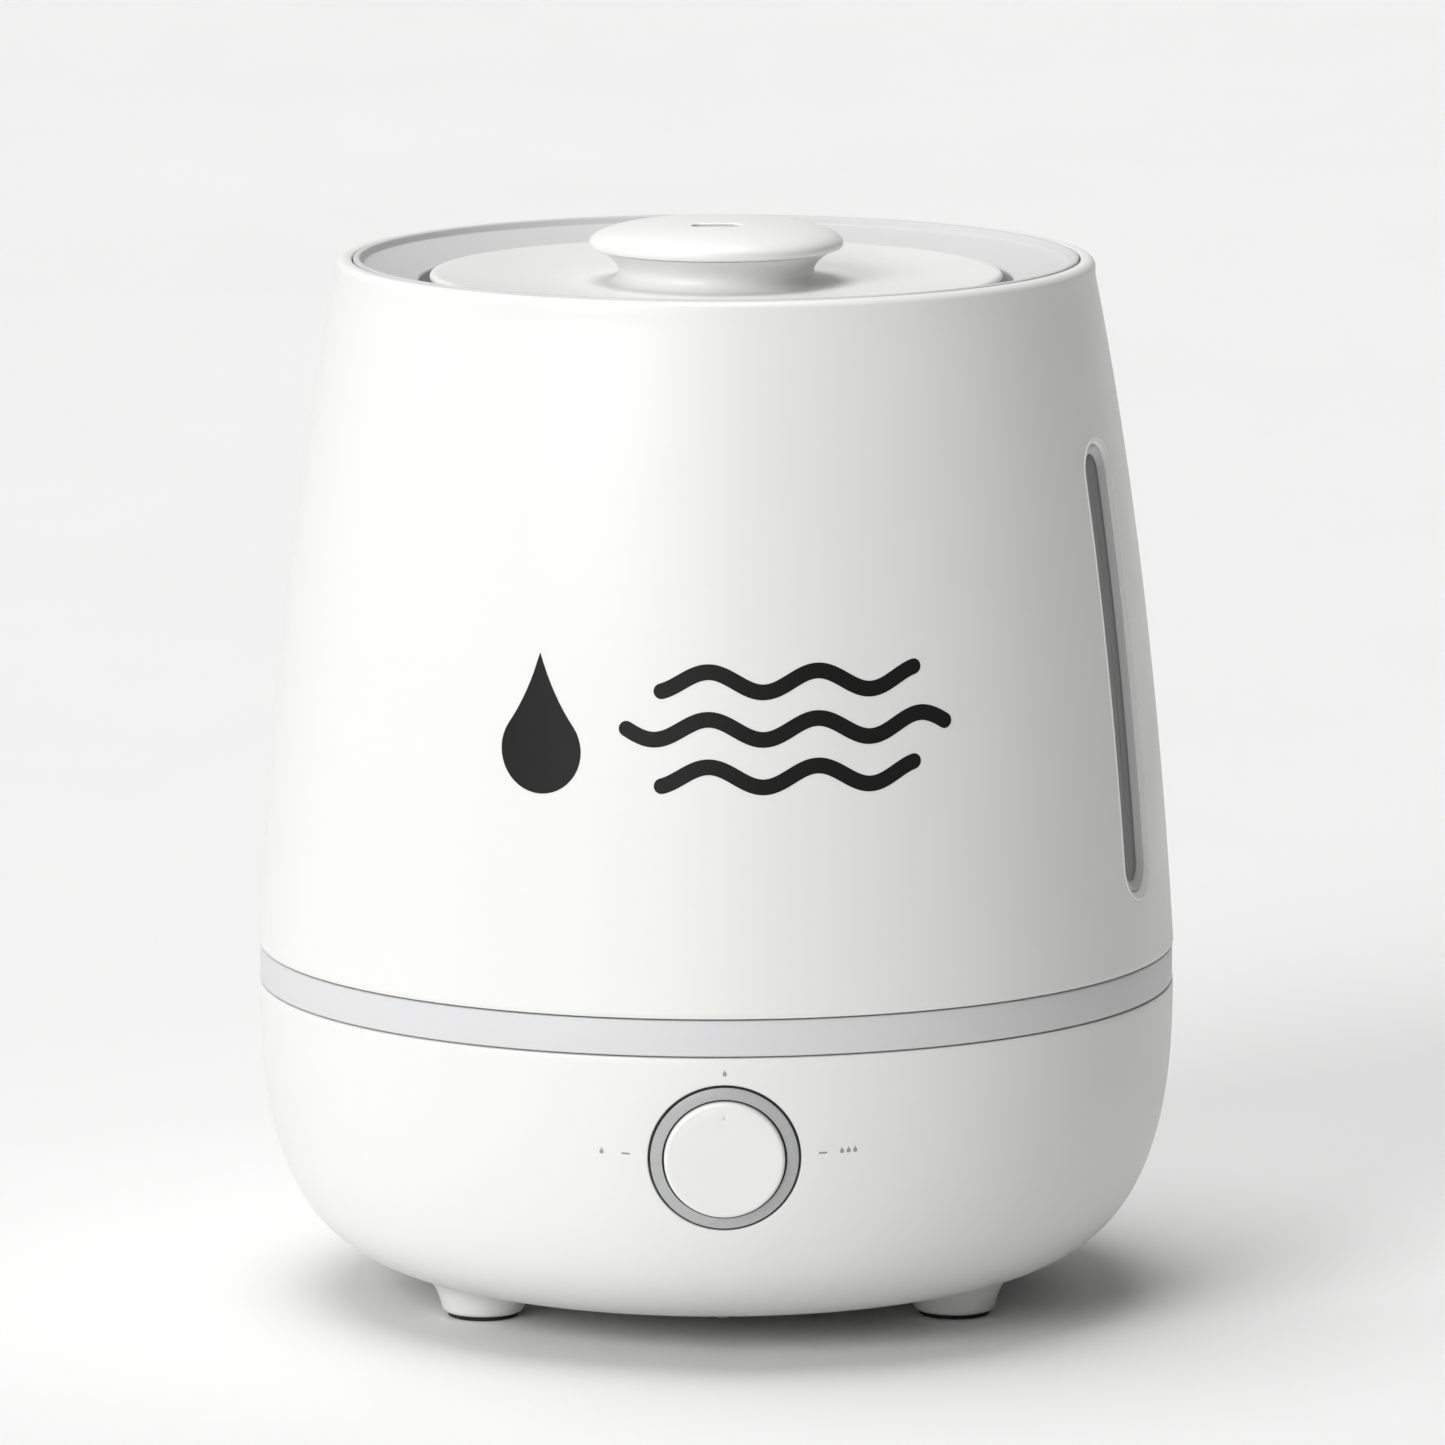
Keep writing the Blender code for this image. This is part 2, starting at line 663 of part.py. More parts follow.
def make_lead(name, points, material):
    """A round insulated wire through the given points, read off a smooth curve."""
    steps = 3
    path = []
    ends = [points[0]] + points + [points[-1]]
    for a, b, c, d in zip(ends, ends[1:], ends[2:], ends[3:]):
        a, b, c, d = Vector(a), Vector(b), Vector(c), Vector(d)
        for i in range(steps):
            t = i / steps
            path.append(0.5 * (
                2 * b + (c - a) * t + (2 * a - 5 * b + 4 * c - d) * t ** 2
                + (3 * b - a - 3 * c + d) * t ** 3))
    path.append(Vector(points[-1]))
    curve = bpy.data.curves.new(name, "CURVE")
    curve.dimensions = "3D"
    curve.bevel_depth = LEAD_RADIUS * MM
    curve.bevel_resolution = 2
    curve.use_fill_caps = True
    spline = curve.splines.new("POLY")
    spline.points.add(len(path) - 1)
    for point, spot in zip(spline.points, path):
        point.co = (*(spot * MM), 1.0)
    curve.materials.append(material)
    lead = bpy.data.objects.new(name, curve)
    bpy.context.scene.collection.objects.link(lead)


def make_leads(red, black, grey):
    route = [
        (0, 94.2, 42), (3, 91.5, 41), (16, 86, 35), (38, 72, 28), (40, 30, 27),
        (28, 2, 32), (30, -15, 29.2)]
    make_lead("lead_power", route, red)
    route = [(-31.5, 34, 30), (-38, 22, 30), (-34, 0, 31), (-22, -17, 29.2)]
    make_lead("lead_fan", route, black)
    route = [(0, 0, 53.0), (0.5, -1, 47), (6, -8, 40), (8, -17, 29.2)]
    make_lead("lead_transducer", route, grey)
    route = [(0, -98.5, 50), (0, -92, 46), (2, -78, 34), (6, -60, 29.2)]
    make_lead("lead_dial", route, black)


# ---------------------------------------------------------------- dial

def make_dial_bezel(material, dial_axis):
    inner = KNOB_RADIUS + DIAL_GAP
    outline = [
        (4.4, -BEZEL_BACK), (20.6, -BEZEL_BACK), (20.6, -BEZEL_SEAT), (BEZEL_RADIUS, -BEZEL_SEAT),
        (BEZEL_RADIUS, -BEZEL_SUNK - 0.4), (BEZEL_RADIUS - 0.4, -BEZEL_SUNK),
        (inner, -BEZEL_SUNK), (inner, -BEZEL_SEAT), (4.4, -BEZEL_SEAT)]
    mesh = bmesh.new()
    add_revolve(mesh, outline, 28)
    make_object("dial_bezel", mesh, material, parent=dial_axis)


def make_dial_knob(material, dial_axis):
    top = KNOB_PROUD
    inner = KNOB_RADIUS - KNOB_WALL
    outline = [
        (0, -0.6), (3.3, -0.6), (3.3, -3.4), (5.4, -3.4), (5.4, -0.3), (inner, -0.3),
        (inner, -KNOB_DEPTH), (KNOB_RADIUS, -KNOB_DEPTH), (KNOB_RADIUS, top - 1.3),
        (KNOB_RADIUS - 0.35, top - 0.4), (KNOB_RADIUS - 1.3, top), (0, top)]
    mesh = bmesh.new()
    add_revolve(mesh, outline, 28)
    knob = make_object("dial_knob", mesh, material, parent=dial_axis)
    dimple = bmesh.new()
    add_rod(dimple, 0.6, top - 0.5, top + 1, SMALL, place(0, DIMPLE_OFFSET, 0))
    cut(knob, dimple, dial_axis)


def make_potentiometer(material, shaft_material, board_material, dial_axis):
    half = POT_SIZE / 2
    mesh = bmesh.new()
    add_box(mesh, (-half, -half, -POT_BACK), (half, half, -POT_FRONT))
    pot = make_object("potentiometer", mesh, material, parent=dial_axis, smooth=False)
    bush = bmesh.new()
    add_rod(bush, SHAFT_RADIUS + 1.1, -POT_FRONT - 1, -3.9, 16)
    join(pot, bush, dial_axis)
    bore = bmesh.new()
    add_rod(bore, SHAFT_RADIUS + GAP, -15.6, -2, 16)
    cut(pot, bore, dial_axis)

    mesh = bmesh.new()
    add_rod(mesh, SHAFT_RADIUS, -15.2, -0.9, 16)
    make_object("dial_shaft", mesh, shaft_material, parent=dial_axis)

    mesh = bmesh.new()
    add_box(mesh, (-20, -15, -18.6), (20, 15, -17.0))
    make_object("control_board", mesh, board_material, parent=dial_axis, smooth=False)


# ---------------------------------------------------------------- tank

def make_tank_shell(material):
    outer = tank_outline(BAND_TOP + SEAM, BAND_TOP + TANK_HEIGHT, 8)
    rim = [(98.6, 273.3), (97.4, 274.7), (96.2, 275.1), (95.4, 274.5)]
    inner = [(95.4, 272.0)] + tank_outline(BAND_TOP + SEAM, 268.0, 6, TANK_WALL)[::-1]
    mesh = bmesh.new()
    add_revolve(mesh, outer + rim + inner, FINE)
    shell = make_object("tank_shell", mesh, material)
    slot = bmesh.new()
    add_stadium(slot, WINDOW_TOP - WINDOW_BOTTOM, WINDOW_WIDTH, 95, 130, 8, window_frame())
    cut(shell, slot)


def make_level_window(material):
    depth = WINDOW_RECESS + WINDOW_THICKNESS
    outer = tank_outline(WINDOW_BOTTOM - 5, WINDOW_TOP + 5, 6, WINDOW_RECESS)
    inner = tank_outline(WINDOW_BOTTOM - 5, WINDOW_TOP + 5, 6, depth)
    mesh = bmesh.new()
    add_revolve(mesh, outer + inner[::-1], 48)
    window = make_object("level_window", mesh, material)
    shape = bmesh.new()
    length = WINDOW_TOP - WINDOW_BOTTOM - 2 * GAP
    add_stadium(shape, length, WINDOW_WIDTH - 2 * GAP, 95, 130, 8, window_frame())
    apply_tool(window, make_tool("level_window_shape", shape), "INTERSECT")


def make_tank_liner(material):
    outline = [
        (70.0, 259.5), (79.3, 259.5), (79.3, 266.6), (92.0, 270.3), (94.9, 270.3),
        (95.0, 274.4), (94.4, 275.0), (93.4, 274.6), (92.6, 273.4), (78.2, 269.4),
        (77.3, 268.6), (77.3, 261.5), (70.0, 261.5)]
    mesh = bmesh.new()
    add_revolve(mesh, outline, FINE)
    make_object("tank_liner", mesh, material)


def make_tank_floor(material):
    mesh = bmesh.new()
    add_tube(mesh, 117.5, TUBE_OUTER + 0.35, TANK_FLOOR_BOTTOM, TANK_FLOOR_TOP, FINE)
    plate = make_object("tank_floor", mesh, material)
    hole = bmesh.new()
    add_rod(hole, 13.9, 90, 105, 20, place(*VALVE))
    cut(plate, hole)


def make_mist_tube(material):
    outline = [
        (TUBE_INNER, TUBE_BOTTOM), (TUBE_OUTER, TUBE_BOTTOM), (TUBE_OUTER, 99.8), (24.0, 99.8),
        (24.0, 101.8), (TUBE_OUTER, 101.8), (TUBE_OUTER, TUBE_TOP), (TUBE_INNER, TUBE_TOP)]
    mesh = bmesh.new()
    add_revolve(mesh, outline, MEDIUM)
    make_object("mist_tube", mesh, material)


def make_valve(body_material, plunger_material, seal_material, spring_material):
    spot = (*VALVE, 0)
    mesh = bmesh.new()
    outline = [
        (11.0, 93.0), (16.5, 93.0), (16.5, 96.2), (13.5, 96.2), (13.5, 103.0),
        (6.5, 103.0), (6.5, 101.0), (11.0, 101.0)]
    add_revolve(mesh, outline, 20, place(*spot))
    body = make_object("valve_body", mesh, body_material)
    spider = bmesh.new()
    add_box(spider, (-12, -2, 93), (12, 2, 95), place(*spot))
    join(body, spider)
    boss = bmesh.new()
    add_rod(boss, 5.5, 92.99, 95.2, 16, place(*spot))
    join(body, boss)
    bore = bmesh.new()
    add_rod(bore, 3.0, 90, 98, 16, place(*spot))
    cut(body, bore)

    mesh = bmesh.new()
    outline = [
        (0, 84.0), (2.6, 84.0), (2.6, 86.0), (5.6, 86.0), (5.6, 87.5), (2.6, 87.5),
        (2.6, 109.3), (9.5, 109.3), (9.5, 111.0), (0, 111.0)]
    add_revolve(mesh, outline, 16)
    make_object("valve_plunger", mesh, plunger_material, spot)
    mesh = bmesh.new()
    add_tube(mesh, 9.5, 2.9, 107.4, 109.0, 16)
    make_object("valve_seal", mesh, seal_material, spot)
    make_spring("valve_spring", 4.2, 0.4, 88.3, 92.2, 3, spring_material, spot)


def make_spring(name, radius, wire, bottom, top, turns, material, spot):
    curve = bpy.data.curves.new(name, "CURVE")
    curve.dimensions = "3D"
    curve.bevel_depth = wire * MM
    curve.bevel_resolution = 1
    curve.use_fill_caps = True
    spline = curve.splines.new("POLY")
    count = turns * 10
    spline.points.add(count)
    for i, point in enumerate(spline.points):
        angle = 2 * pi * turns * i / count
        height = bottom + (top - bottom) * i / count
        x = radius * cos(angle)
        y = radius * sin(angle)
        point.co = (x * MM, y * MM, height * MM, 1.0)
    curve.materials.append(material)
    spring = bpy.data.objects.new(name, curve)
    spring.location = Vector(spot) * MM
    bpy.context.scene.collection.objects.link(spring)


# ---------------------------------------------------------------- lid and nozzle

def make_lid(material):
    """The dished lid disc with its waisted neck, open in the middle for the mist."""
    flare = arc((NECK_WAIST + 6.0, NECK_WAIST_HEIGHT), 6.0, 180, 145, 2)
    bore = COLLAR_OUTER + 0.4
    outline = [(bore, 266.0), (35.0, 266.0), (SKIRT_INNER, 268.1), (SKIRT_OUTER, 268.4)]
    outline += [(LID_RADIUS - 0.85, 268.6), (LID_RADIUS, 269.4)]
    outline += [(LID_RADIUS - 0.1, LID_TOP - 0.45), (LID_RADIUS - 0.9, LID_TOP)]
    outline += [(55.0, 269.7), (34.0, LID_DISH), (29.5, LID_DISH + 0.2), (26.9, 269.6)]
    outline += flare + [(28.4, 275.4), (31.0, NECK_TOP), (28.6, NECK_TOP)]
    outline += [(23.3, 272.0), (bore, 269.5)]
    mesh = bmesh.new()
    add_revolve(mesh, outline, FINE)
    make_object("lid", mesh, material)


def make_lid_skirt(material):
    """The ring under the lid that carries the seal."""
    mesh = bmesh.new()
    add_tube(mesh, SKIRT_OUTER, SKIRT_INNER, SKIRT_BOTTOM, SKIRT_TOP, FINE)
    make_object("lid_skirt", mesh, material)


def make_lid_seal(material):
    mesh = bmesh.new()
    outline = [(70.4, 261.8), (74.5, 261.8), (74.5, 263.5), (71.0, 266.8), (70.4, 266.8)]
    add_revolve(mesh, outline, FINE)
    make_object("lid_seal", mesh, material)


def make_splash_guard(material):
    """A collar that reaches down round the mist tube, with a small disc held over it."""
    bar_bottom = GUARD_TOP - 1.4
    mesh = bmesh.new()
    add_tube(mesh, COLLAR_OUTER, COLLAR_INNER, COLLAR_BOTTOM, GUARD_TOP, MEDIUM)
    guard = make_object("splash_guard", mesh, material)
    for turn in (0, 120, 240):
        bar = bmesh.new()
        spin = Matrix.Rotation(radians(turn), 4, "Z")
        add_box(bar, (4, -1.2, bar_bottom), (20.6, 1.2, GUARD_TOP - 0.2), spin)
        join(guard, bar)
    disc = bmesh.new()
    add_rod(disc, 10.0, bar_bottom - 0.1, GUARD_TOP - 0.1, MEDIUM)
    join(guard, disc)


def make_nozzle_cap(material):
    outer = []
    for angle in (90, 76, 62, 48, 35, 22, 10, 0):
        side = max(cos(radians(angle)), 0.0) ** CAP_POWER
        rise = sin(radians(angle)) ** CAP_POWER
        outer.append((CAP_RADIUS * side, CAP_EQUATOR + CAP_RISE * rise))
    outer[0] = (0.0, CAP_EQUATOR + CAP_RISE)
    lip = [(33.0, 277.6), (32.2, 277.25), (31.0, 277.3)]
    inner = [
        (CAP_SKIRT_OUTER, 278.0), (CAP_SKIRT_OUTER, CAP_SKIRT_BOTTOM),
        (CAP_SKIRT_INNER, CAP_SKIRT_BOTTOM), (CAP_SKIRT_INNER, 280.4), (16.0, 282.0),
        (0.0, 282.6)]
    mesh = bmesh.new()
    add_revolve(mesh, outer + lip + inner, FINE)
    cap = make_object("nozzle_cap", mesh, material)
    slit = bmesh.new()
    add_stadium(slit, SLIT_LENGTH, SLIT_WIDTH, 270, 290, 6, place(0, -SLIT_OFFSET))
    cut(cap, slit)


# ---------------------------------------------------------------- whole object

def build():
    clear_scene()
    white = make_material("white_plastic", (0.86, 0.86, 0.855), 0.42)
    cap_white = make_material("cap_plastic", (0.88, 0.88, 0.875), 0.36)
    light_grey = make_material("light_grey_plastic", (0.66, 0.665, 0.68), 0.45)
    grey = make_material("bezel_plastic", (0.56, 0.57, 0.58), 0.4)
    milky = make_material("milky_plastic", (0.78, 0.8, 0.81), 0.4)
    smoky = make_material("smoky_clear_plastic", (0.3, 0.31, 0.33), 0.15, alpha=0.6)
    dark = make_material("black_plastic", (0.03, 0.03, 0.032), 0.5)
    rubber = make_material("black_rubber", (0.02, 0.02, 0.02), 0.8)
    silicone = make_material("silicone", (0.7, 0.7, 0.68), 0.6)
    foam = make_material("filter_foam", (0.12, 0.12, 0.12), 0.95)
    board = make_material("circuit_board", (0.02, 0.16, 0.06), 0.5)
    steel = make_material("steel", (0.62, 0.62, 0.63), 0.3, 1.0)
    aluminium = make_material("aluminium", (0.75, 0.75, 0.76), 0.35, 1.0)
    brass = make_material("brass", (0.75, 0.56, 0.28), 0.3, 1.0)
    copper = make_material("copper_wire", (0.65, 0.28, 0.14), 0.4, 1.0)
    red = make_material("red_insulation", (0.45, 0.02, 0.02), 0.5)
    float_blue = make_material("float_plastic", (0.35, 0.5, 0.62), 0.5)

    dial_turn = (radians(90 + DIAL_TILT), 0, 0)
    inlet_turn = (radians(-90), 0, 0)
    dial_axis = make_axis("dial_axis", (0, -DIAL_SURFACE, DIAL_HEIGHT), dial_turn)
    inlet_axis = make_axis("inlet_axis", (0, INLET_FACE, INLET_HEIGHT), inlet_turn)

    make_base_shell(white, dial_axis, inlet_axis)
    make_trim_ring(light_grey)
    make_bottom_cover(white)
    make_feet(white, rubber)
    make_basin(milky)
    make_float(float_blue, dark, milky)
    make_transducer(brass, silicone, steel)
    make_screws(steel)
    make_fan_frame(dark)
    make_fan_rotor(dark)
    make_air_duct(milky)
    make_intake_filter(foam)
    make_driver_board(board, aluminium, copper, dark)
    make_inlet(dark, inlet_axis)
    make_leads(red, dark, grey)
    make_dial_bezel(grey, dial_axis)
    make_dial_knob(white, dial_axis)
    make_potentiometer(dark, steel, board, dial_axis)
    make_tank_shell(white)
    make_level_window(smoky)
    make_tank_liner(light_grey)
    make_tank_floor(milky)
    make_mist_tube(milky)
    make_valve(milky, milky, silicone, steel)
    make_lid(white)
    make_lid_skirt(white)
    make_lid_seal(silicone)
    make_splash_guard(milky)
    make_nozzle_cap(cap_white)


build()
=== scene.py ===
import json
from math import atan2, cos, hypot, pi, radians, sin, sqrt, tan

import bmesh
import bpy
from mathutils import Matrix, Vector


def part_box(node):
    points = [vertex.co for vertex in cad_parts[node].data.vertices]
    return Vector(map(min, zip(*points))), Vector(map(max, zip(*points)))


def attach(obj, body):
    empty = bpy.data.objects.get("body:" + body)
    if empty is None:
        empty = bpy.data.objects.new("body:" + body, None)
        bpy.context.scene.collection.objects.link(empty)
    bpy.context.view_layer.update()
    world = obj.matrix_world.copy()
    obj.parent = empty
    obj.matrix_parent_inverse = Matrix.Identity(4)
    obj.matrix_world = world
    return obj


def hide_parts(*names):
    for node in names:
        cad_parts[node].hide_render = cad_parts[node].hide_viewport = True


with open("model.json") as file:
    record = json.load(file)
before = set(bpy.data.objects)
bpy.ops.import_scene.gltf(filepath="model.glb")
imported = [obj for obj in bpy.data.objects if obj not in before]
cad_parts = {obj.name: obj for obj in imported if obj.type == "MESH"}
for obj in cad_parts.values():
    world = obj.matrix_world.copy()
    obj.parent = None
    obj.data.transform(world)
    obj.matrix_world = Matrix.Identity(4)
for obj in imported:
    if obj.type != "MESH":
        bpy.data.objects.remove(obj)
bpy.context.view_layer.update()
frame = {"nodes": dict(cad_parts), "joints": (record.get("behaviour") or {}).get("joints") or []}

# Lengths are millimetres here, and become metres when a mesh is made.
MM = 0.001
COLUMNS = 256                  # columns round the large shells
RING_SIDES = 192               # sides of the other turned pieces
SMALL_SIDES = 64               # sides of screws, posts and small rings
SHARP_EDGE = 32                # degrees between faces that makes an edge sharp

joint_of = {joint["name"]: joint for joint in frame["joints"]}


def low(node):
    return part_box(node)[0] / MM


def high(node):
    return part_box(node)[1] / MM


# Places and sizes read from the frame
BAND_TOP = high("trim_ring").z
BAND_RADIUS = high("trim_ring").x
BOWL_TOP = high("base_shell").z
BOWL_RADIUS = high("base_shell").x
SEAM = low("tank_shell").z - BAND_TOP
BAND_BOTTOM = BOWL_TOP + SEAM
CAP_TOP = high("nozzle_cap").z
CAP_RADIUS = high("nozzle_cap").x
LID_RADIUS = high("lid").x
COVER_BOTTOM = low("bottom_cover").z
COVER_EDGE = high("bottom_cover").x
FAN_Y = (low("fan_frame").y + high("fan_frame").y) / 2
VALVE = (low("valve_body") + high("valve_body")) / 2
FLOAT = (low("float_body") + high("float_body")) / 2
DIAL_CENTRE = Vector(joint_of["dial_turn"]["pos_m"]) / MM
DIAL_AXIS = Vector(joint_of["dial_turn"]["axis"]).normalized()
ACROSS = Vector((1, 0, 0))
DIAL_UP = DIAL_AXIS.cross(ACROSS)
INLET = (low("power_inlet") + high("power_inlet")) / 2
INLET_FACE = high("power_inlet").y
WINDOW = (low("level_window") + high("level_window")) / 2

# Outline of the bowl: a superellipse of revolution
BOWL_DEPTH = BAND_BOTTOM - COVER_BOTTOM
BOWL_SIDE_POWER = 2 / 6.69
BOWL_FLOOR_POWER = 2 / 2.45
BOWL_WALL = 2.5

# Outline of the tank
TANK_HEIGHT = 178.0
TANK_WALL = 2.4

# Hole sizes
WINDOW_LENGTH = 119.7
WINDOW_WIDTH = 17.8
WINDOW_LIP = 1.6               # rounding round the window, inside its outline
DIAL_HOLE = 19.45
INLET_HOLE = 6.4


# ---------------------------------------------------------------- outlines

def bowl_radius(height, inset=0.0):
    drop = min(max((BAND_BOTTOM - height) / (BOWL_DEPTH - inset), 0.0), 1.0)
    side = (1 - drop ** (2 / BOWL_FLOOR_POWER)) ** (BOWL_SIDE_POWER / 2)
    return (BOWL_RADIUS - inset) * side


def bowl_height(radius, inset=0.0):
    side = min(radius / (BOWL_RADIUS - inset), 1.0)
    drop = (1 - side ** (2 / BOWL_SIDE_POWER)) ** (BOWL_FLOOR_POWER / 2)
    return BAND_BOTTOM - (BOWL_DEPTH - inset) * drop


def tank_radius(height, inset=0.0):
    t = (height - BAND_TOP) / TANK_HEIGHT
    return 120.0 * (1 - 0.0909 * t - 0.0649 * t ** 2 - 0.0244 * t ** 3) + 0.8 - inset


def steps(start, end, count):
    return [start + (end - start) * i / count for i in range(count + 1)]


def arc(centre, radius, start, end, count):
    """Points on an arc in the (radius, height) plane; angles in degrees."""
    angles = [radians(a) for a in steps(start, end, count)]
    return [(centre[0] + radius * cos(a), centre[1] + radius * sin(a)) for a in angles]


def softened(corners, count=4):
    """Round the corners of a closed outline; each corner is (radius, height, fillet)."""
    points = []
    total = len(corners)
    for i, (r, z, fillet) in enumerate(corners):
        here = Vector((r, z))
        before = Vector(corners[i - 1][:2]) - here
        after = Vector(corners[(i + 1) % total][:2]) - here
        if fillet <= 0:
            points.append((r, z))
            continue
        half = before.angle(after) / 2
        reach = min(fillet / tan(half), 0.48 * before.length, 0.48 * after.length)
        start = here + before.normalized() * reach
        end = here + after.normalized() * reach
        for t in steps(0.0, 1.0, count):
            spot = start * (1 - t) ** 2 + here * 2 * t * (1 - t) + end * t ** 2
            points.append((spot.x, spot.y))
    return points


# ---------------------------------------------------------------- meshes

class Skin:
    """Collects points and the faces between them, in millimetres."""

    def __init__(self):
        self.points = []
        self.faces = []

    def add(self, point):
        self.points.append(Vector(point))
        return len(self.points) - 1

    def loop(self, points):
        return [self.add(p) for p in points]

    def bridge(self, first, second):
        """Quads between two closed loops of the same length."""
        count = len(first)
        for i in range(count):
            j = (i + 1) % count
            self.faces.append((first[i], first[j], second[j], second[i]))

    def fan(self, loop, tip):
        count = len(loop)
        for i in range(count):
            self.faces.append((loop[i], loop[(i + 1) % count], tip))

    def stack(self, rings, closed=False):
        """Bridge each ring to the next one, and the last to the first if closed."""
        following = rings[1:] + rings[:1] if closed else rings[1:]
        for first, second in zip(rings, following):
            self.bridge(first, second)

    def ring(self, radius, height, sides=COLUMNS, matrix=None):
        """A circle of points about Z, or about the matrix's own Z."""
        matrix = matrix or Matrix.Identity(4)
        angles = [2 * pi * k / sides for k in range(sides)]
        return self.loop(
            matrix @ Vector((radius * cos(a), radius * sin(a), height)) for a in angles)

    def climb(self, last, rows):
        """Carry a turned wall on through further (radius, height) rows."""
        for r, z in rows:
            ring = self.ring(r, z)
            self.bridge(last, ring)
            last = ring
        return last

    def rod(self, radius, bottom, top, sides, matrix=None):
        self.turn([(0, bottom), (radius, bottom), (radius, top), (0, top)], sides, matrix)

    def turn(self, outline, sides, matrix=None):
        """Spin a closed (radius, height) outline about Z; points on the axis become one."""
        matrix = matrix or Matrix.Identity(4)
        rings = []
        for r, z in outline:
            if r < 1e-6:
                rings.append([self.add(matrix @ Vector((0, 0, z)))])
            else:
                rings.append(self.ring(r, z, sides, matrix))
        for first, second in zip(rings, rings[1:] + rings[:1]):
            if len(first) > 1 and len(second) > 1:
                self.bridge(first, second)
            elif len(first) > 1:
                self.fan(first, second[0])
            elif len(second) > 1:
                self.fan(second, first[0])

    def box(self, lowest, highest, matrix=None):
        matrix = matrix or Matrix.Identity(4)
        corners = []
        for z in (lowest[2], highest[2]):
            for x, y in ((0, 0), (1, 0), (1, 1), (0, 1)):
                spot = ((lowest, highest)[x][0], (lowest, highest)[y][1], z)
                corners.append(self.add(matrix @ Vector(spot)))
        self.faces.append(tuple(corners[:4]))
        self.faces.append(tuple(corners[4:]))
        for i in range(4):
            j = (i + 1) % 4
            self.faces.append((corners[i], corners[j], corners[j + 4], corners[i + 4]))

    def mesh(self, name):
        data = bpy.data.meshes.new(name)
        data.from_pydata([p * MM for p in self.points], [], self.faces)
        work = bmesh.new()
        work.from_mesh(data)
        bmesh.ops.recalc_face_normals(work, faces=work.faces)
        work.to_mesh(data)
        work.free()
        data.shade_smooth()
        data.set_sharp_from_angle(angle=radians(SHARP_EDGE))
        return data


def show(name, skin, body, material, replaced):
    """Make a piece from a skin, ride it on its body and let it stand for CAD nodes."""
    piece = bpy.data.objects.new(name, skin.mesh(name))
    piece.data.materials.append(material)
    bpy.context.scene.collection.objects.link(piece)
    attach(piece, body)
    if replaced:
        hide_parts(*replaced)
    return piece


def turned(name, outline, body, material, replaced, sides=RING_SIDES, matrix=None):
    skin = Skin()
    skin.turn(outline, sides, matrix)
    return show(name, skin, body, material, replaced)


def place(x=0.0, y=0.0, z=0.0):
    return Matrix.Translation((x, y, z))


class Opening:
    """A slot with round ends, or a round hole, cut along one direction into a skin."""

    def __init__(self, origin, along, out, reach, radius, drop):
        self.origin = Vector(origin)
        self.out = Vector(out).normalized()
        self.along = Vector(along).normalized()
        self.side = self.out.cross(self.along)
        self.reach = reach
        self.radius = radius
        self.drop = drop

    def flat(self, point):
        offset = point - self.origin
        return offset.dot(self.along), offset.dot(self.side)

    def edge(self, x, y, offset=0.0):
        """The nearest point of the slot's outline, in the slot's own plane."""
        middle = min(max(x, -self.reach), self.reach)
        away = Vector((x - middle, y))
        away = away.normalized() * (self.radius + offset)
        return middle + away.x, away.y

    def at(self, x, y, inset=0.0):
        """The point of the skin, or of the skin set in, under a point of the plane."""
        start = self.origin + self.along * x + self.side * y
        return self.drop(start, self.out, inset)


def onto_turned(radius_at):
    """How a straight line meets a turned skin: returns a function of start and direction."""
    def drop(start, out, inset):
        travel = 0.0
        for _ in range(12):
            spot = start + out * travel
            error = radius_at(spot.z, inset) - hypot(spot.x, spot.y)
            travel += error / max(Vector((out.x, out.y)).length, 0.2)
        return start + out * travel
    return drop


def cut_opening(skin, loop, opening, inset=0.0, lip=0.0, depth=0.0, bead=0.0, rows=5):
    """Fill the skin from a loop to the opening's edge, round its lip and go down its wall.

    A bead, if there is one, stands up round the lip by its own radius.
    """
    flats = [opening.flat(skin.points[i]) for i in loop]
    rims = [opening.edge(x, y, lip + 2 * bead) for x, y in flats]
    last = loop
    for t in steps(0.0, 1.0, rows)[1:]:
        spots = []
        for (x, y), (u, v) in zip(flats, rims):
            spots.append(opening.at(x + (u - x) * t, y + (v - y) * t, inset))
        ring = skin.loop(spots)
        skin.bridge(last, ring)
        last = ring
    if lip > 0:
        turns = [radians(a) for a in steps(15, 90, 5)]
        bends = [(lip * (1 - sin(a)), lip * (1 - cos(a))) for a in turns]
        if bead > 0:
            turns = [radians(a) for a in steps(30, 180, 5)]
            bends = [(lip + bead * (1 + cos(a)), -bead * sin(a)) for a in turns] + bends
        for offset, sunk in bends:
            spots = []
            for x, y in flats:
                u, v = opening.edge(x, y, offset)
                spots.append(opening.at(u, v, inset) - opening.out * sunk)
            ring = skin.loop(spots)
            skin.bridge(last, ring)
            last = ring
    if depth > 0:
        spots = [skin.points[i] - opening.out * depth for i in last]
        ring = skin.loop(spots)
        skin.bridge(last, ring)
        last = ring
    return last


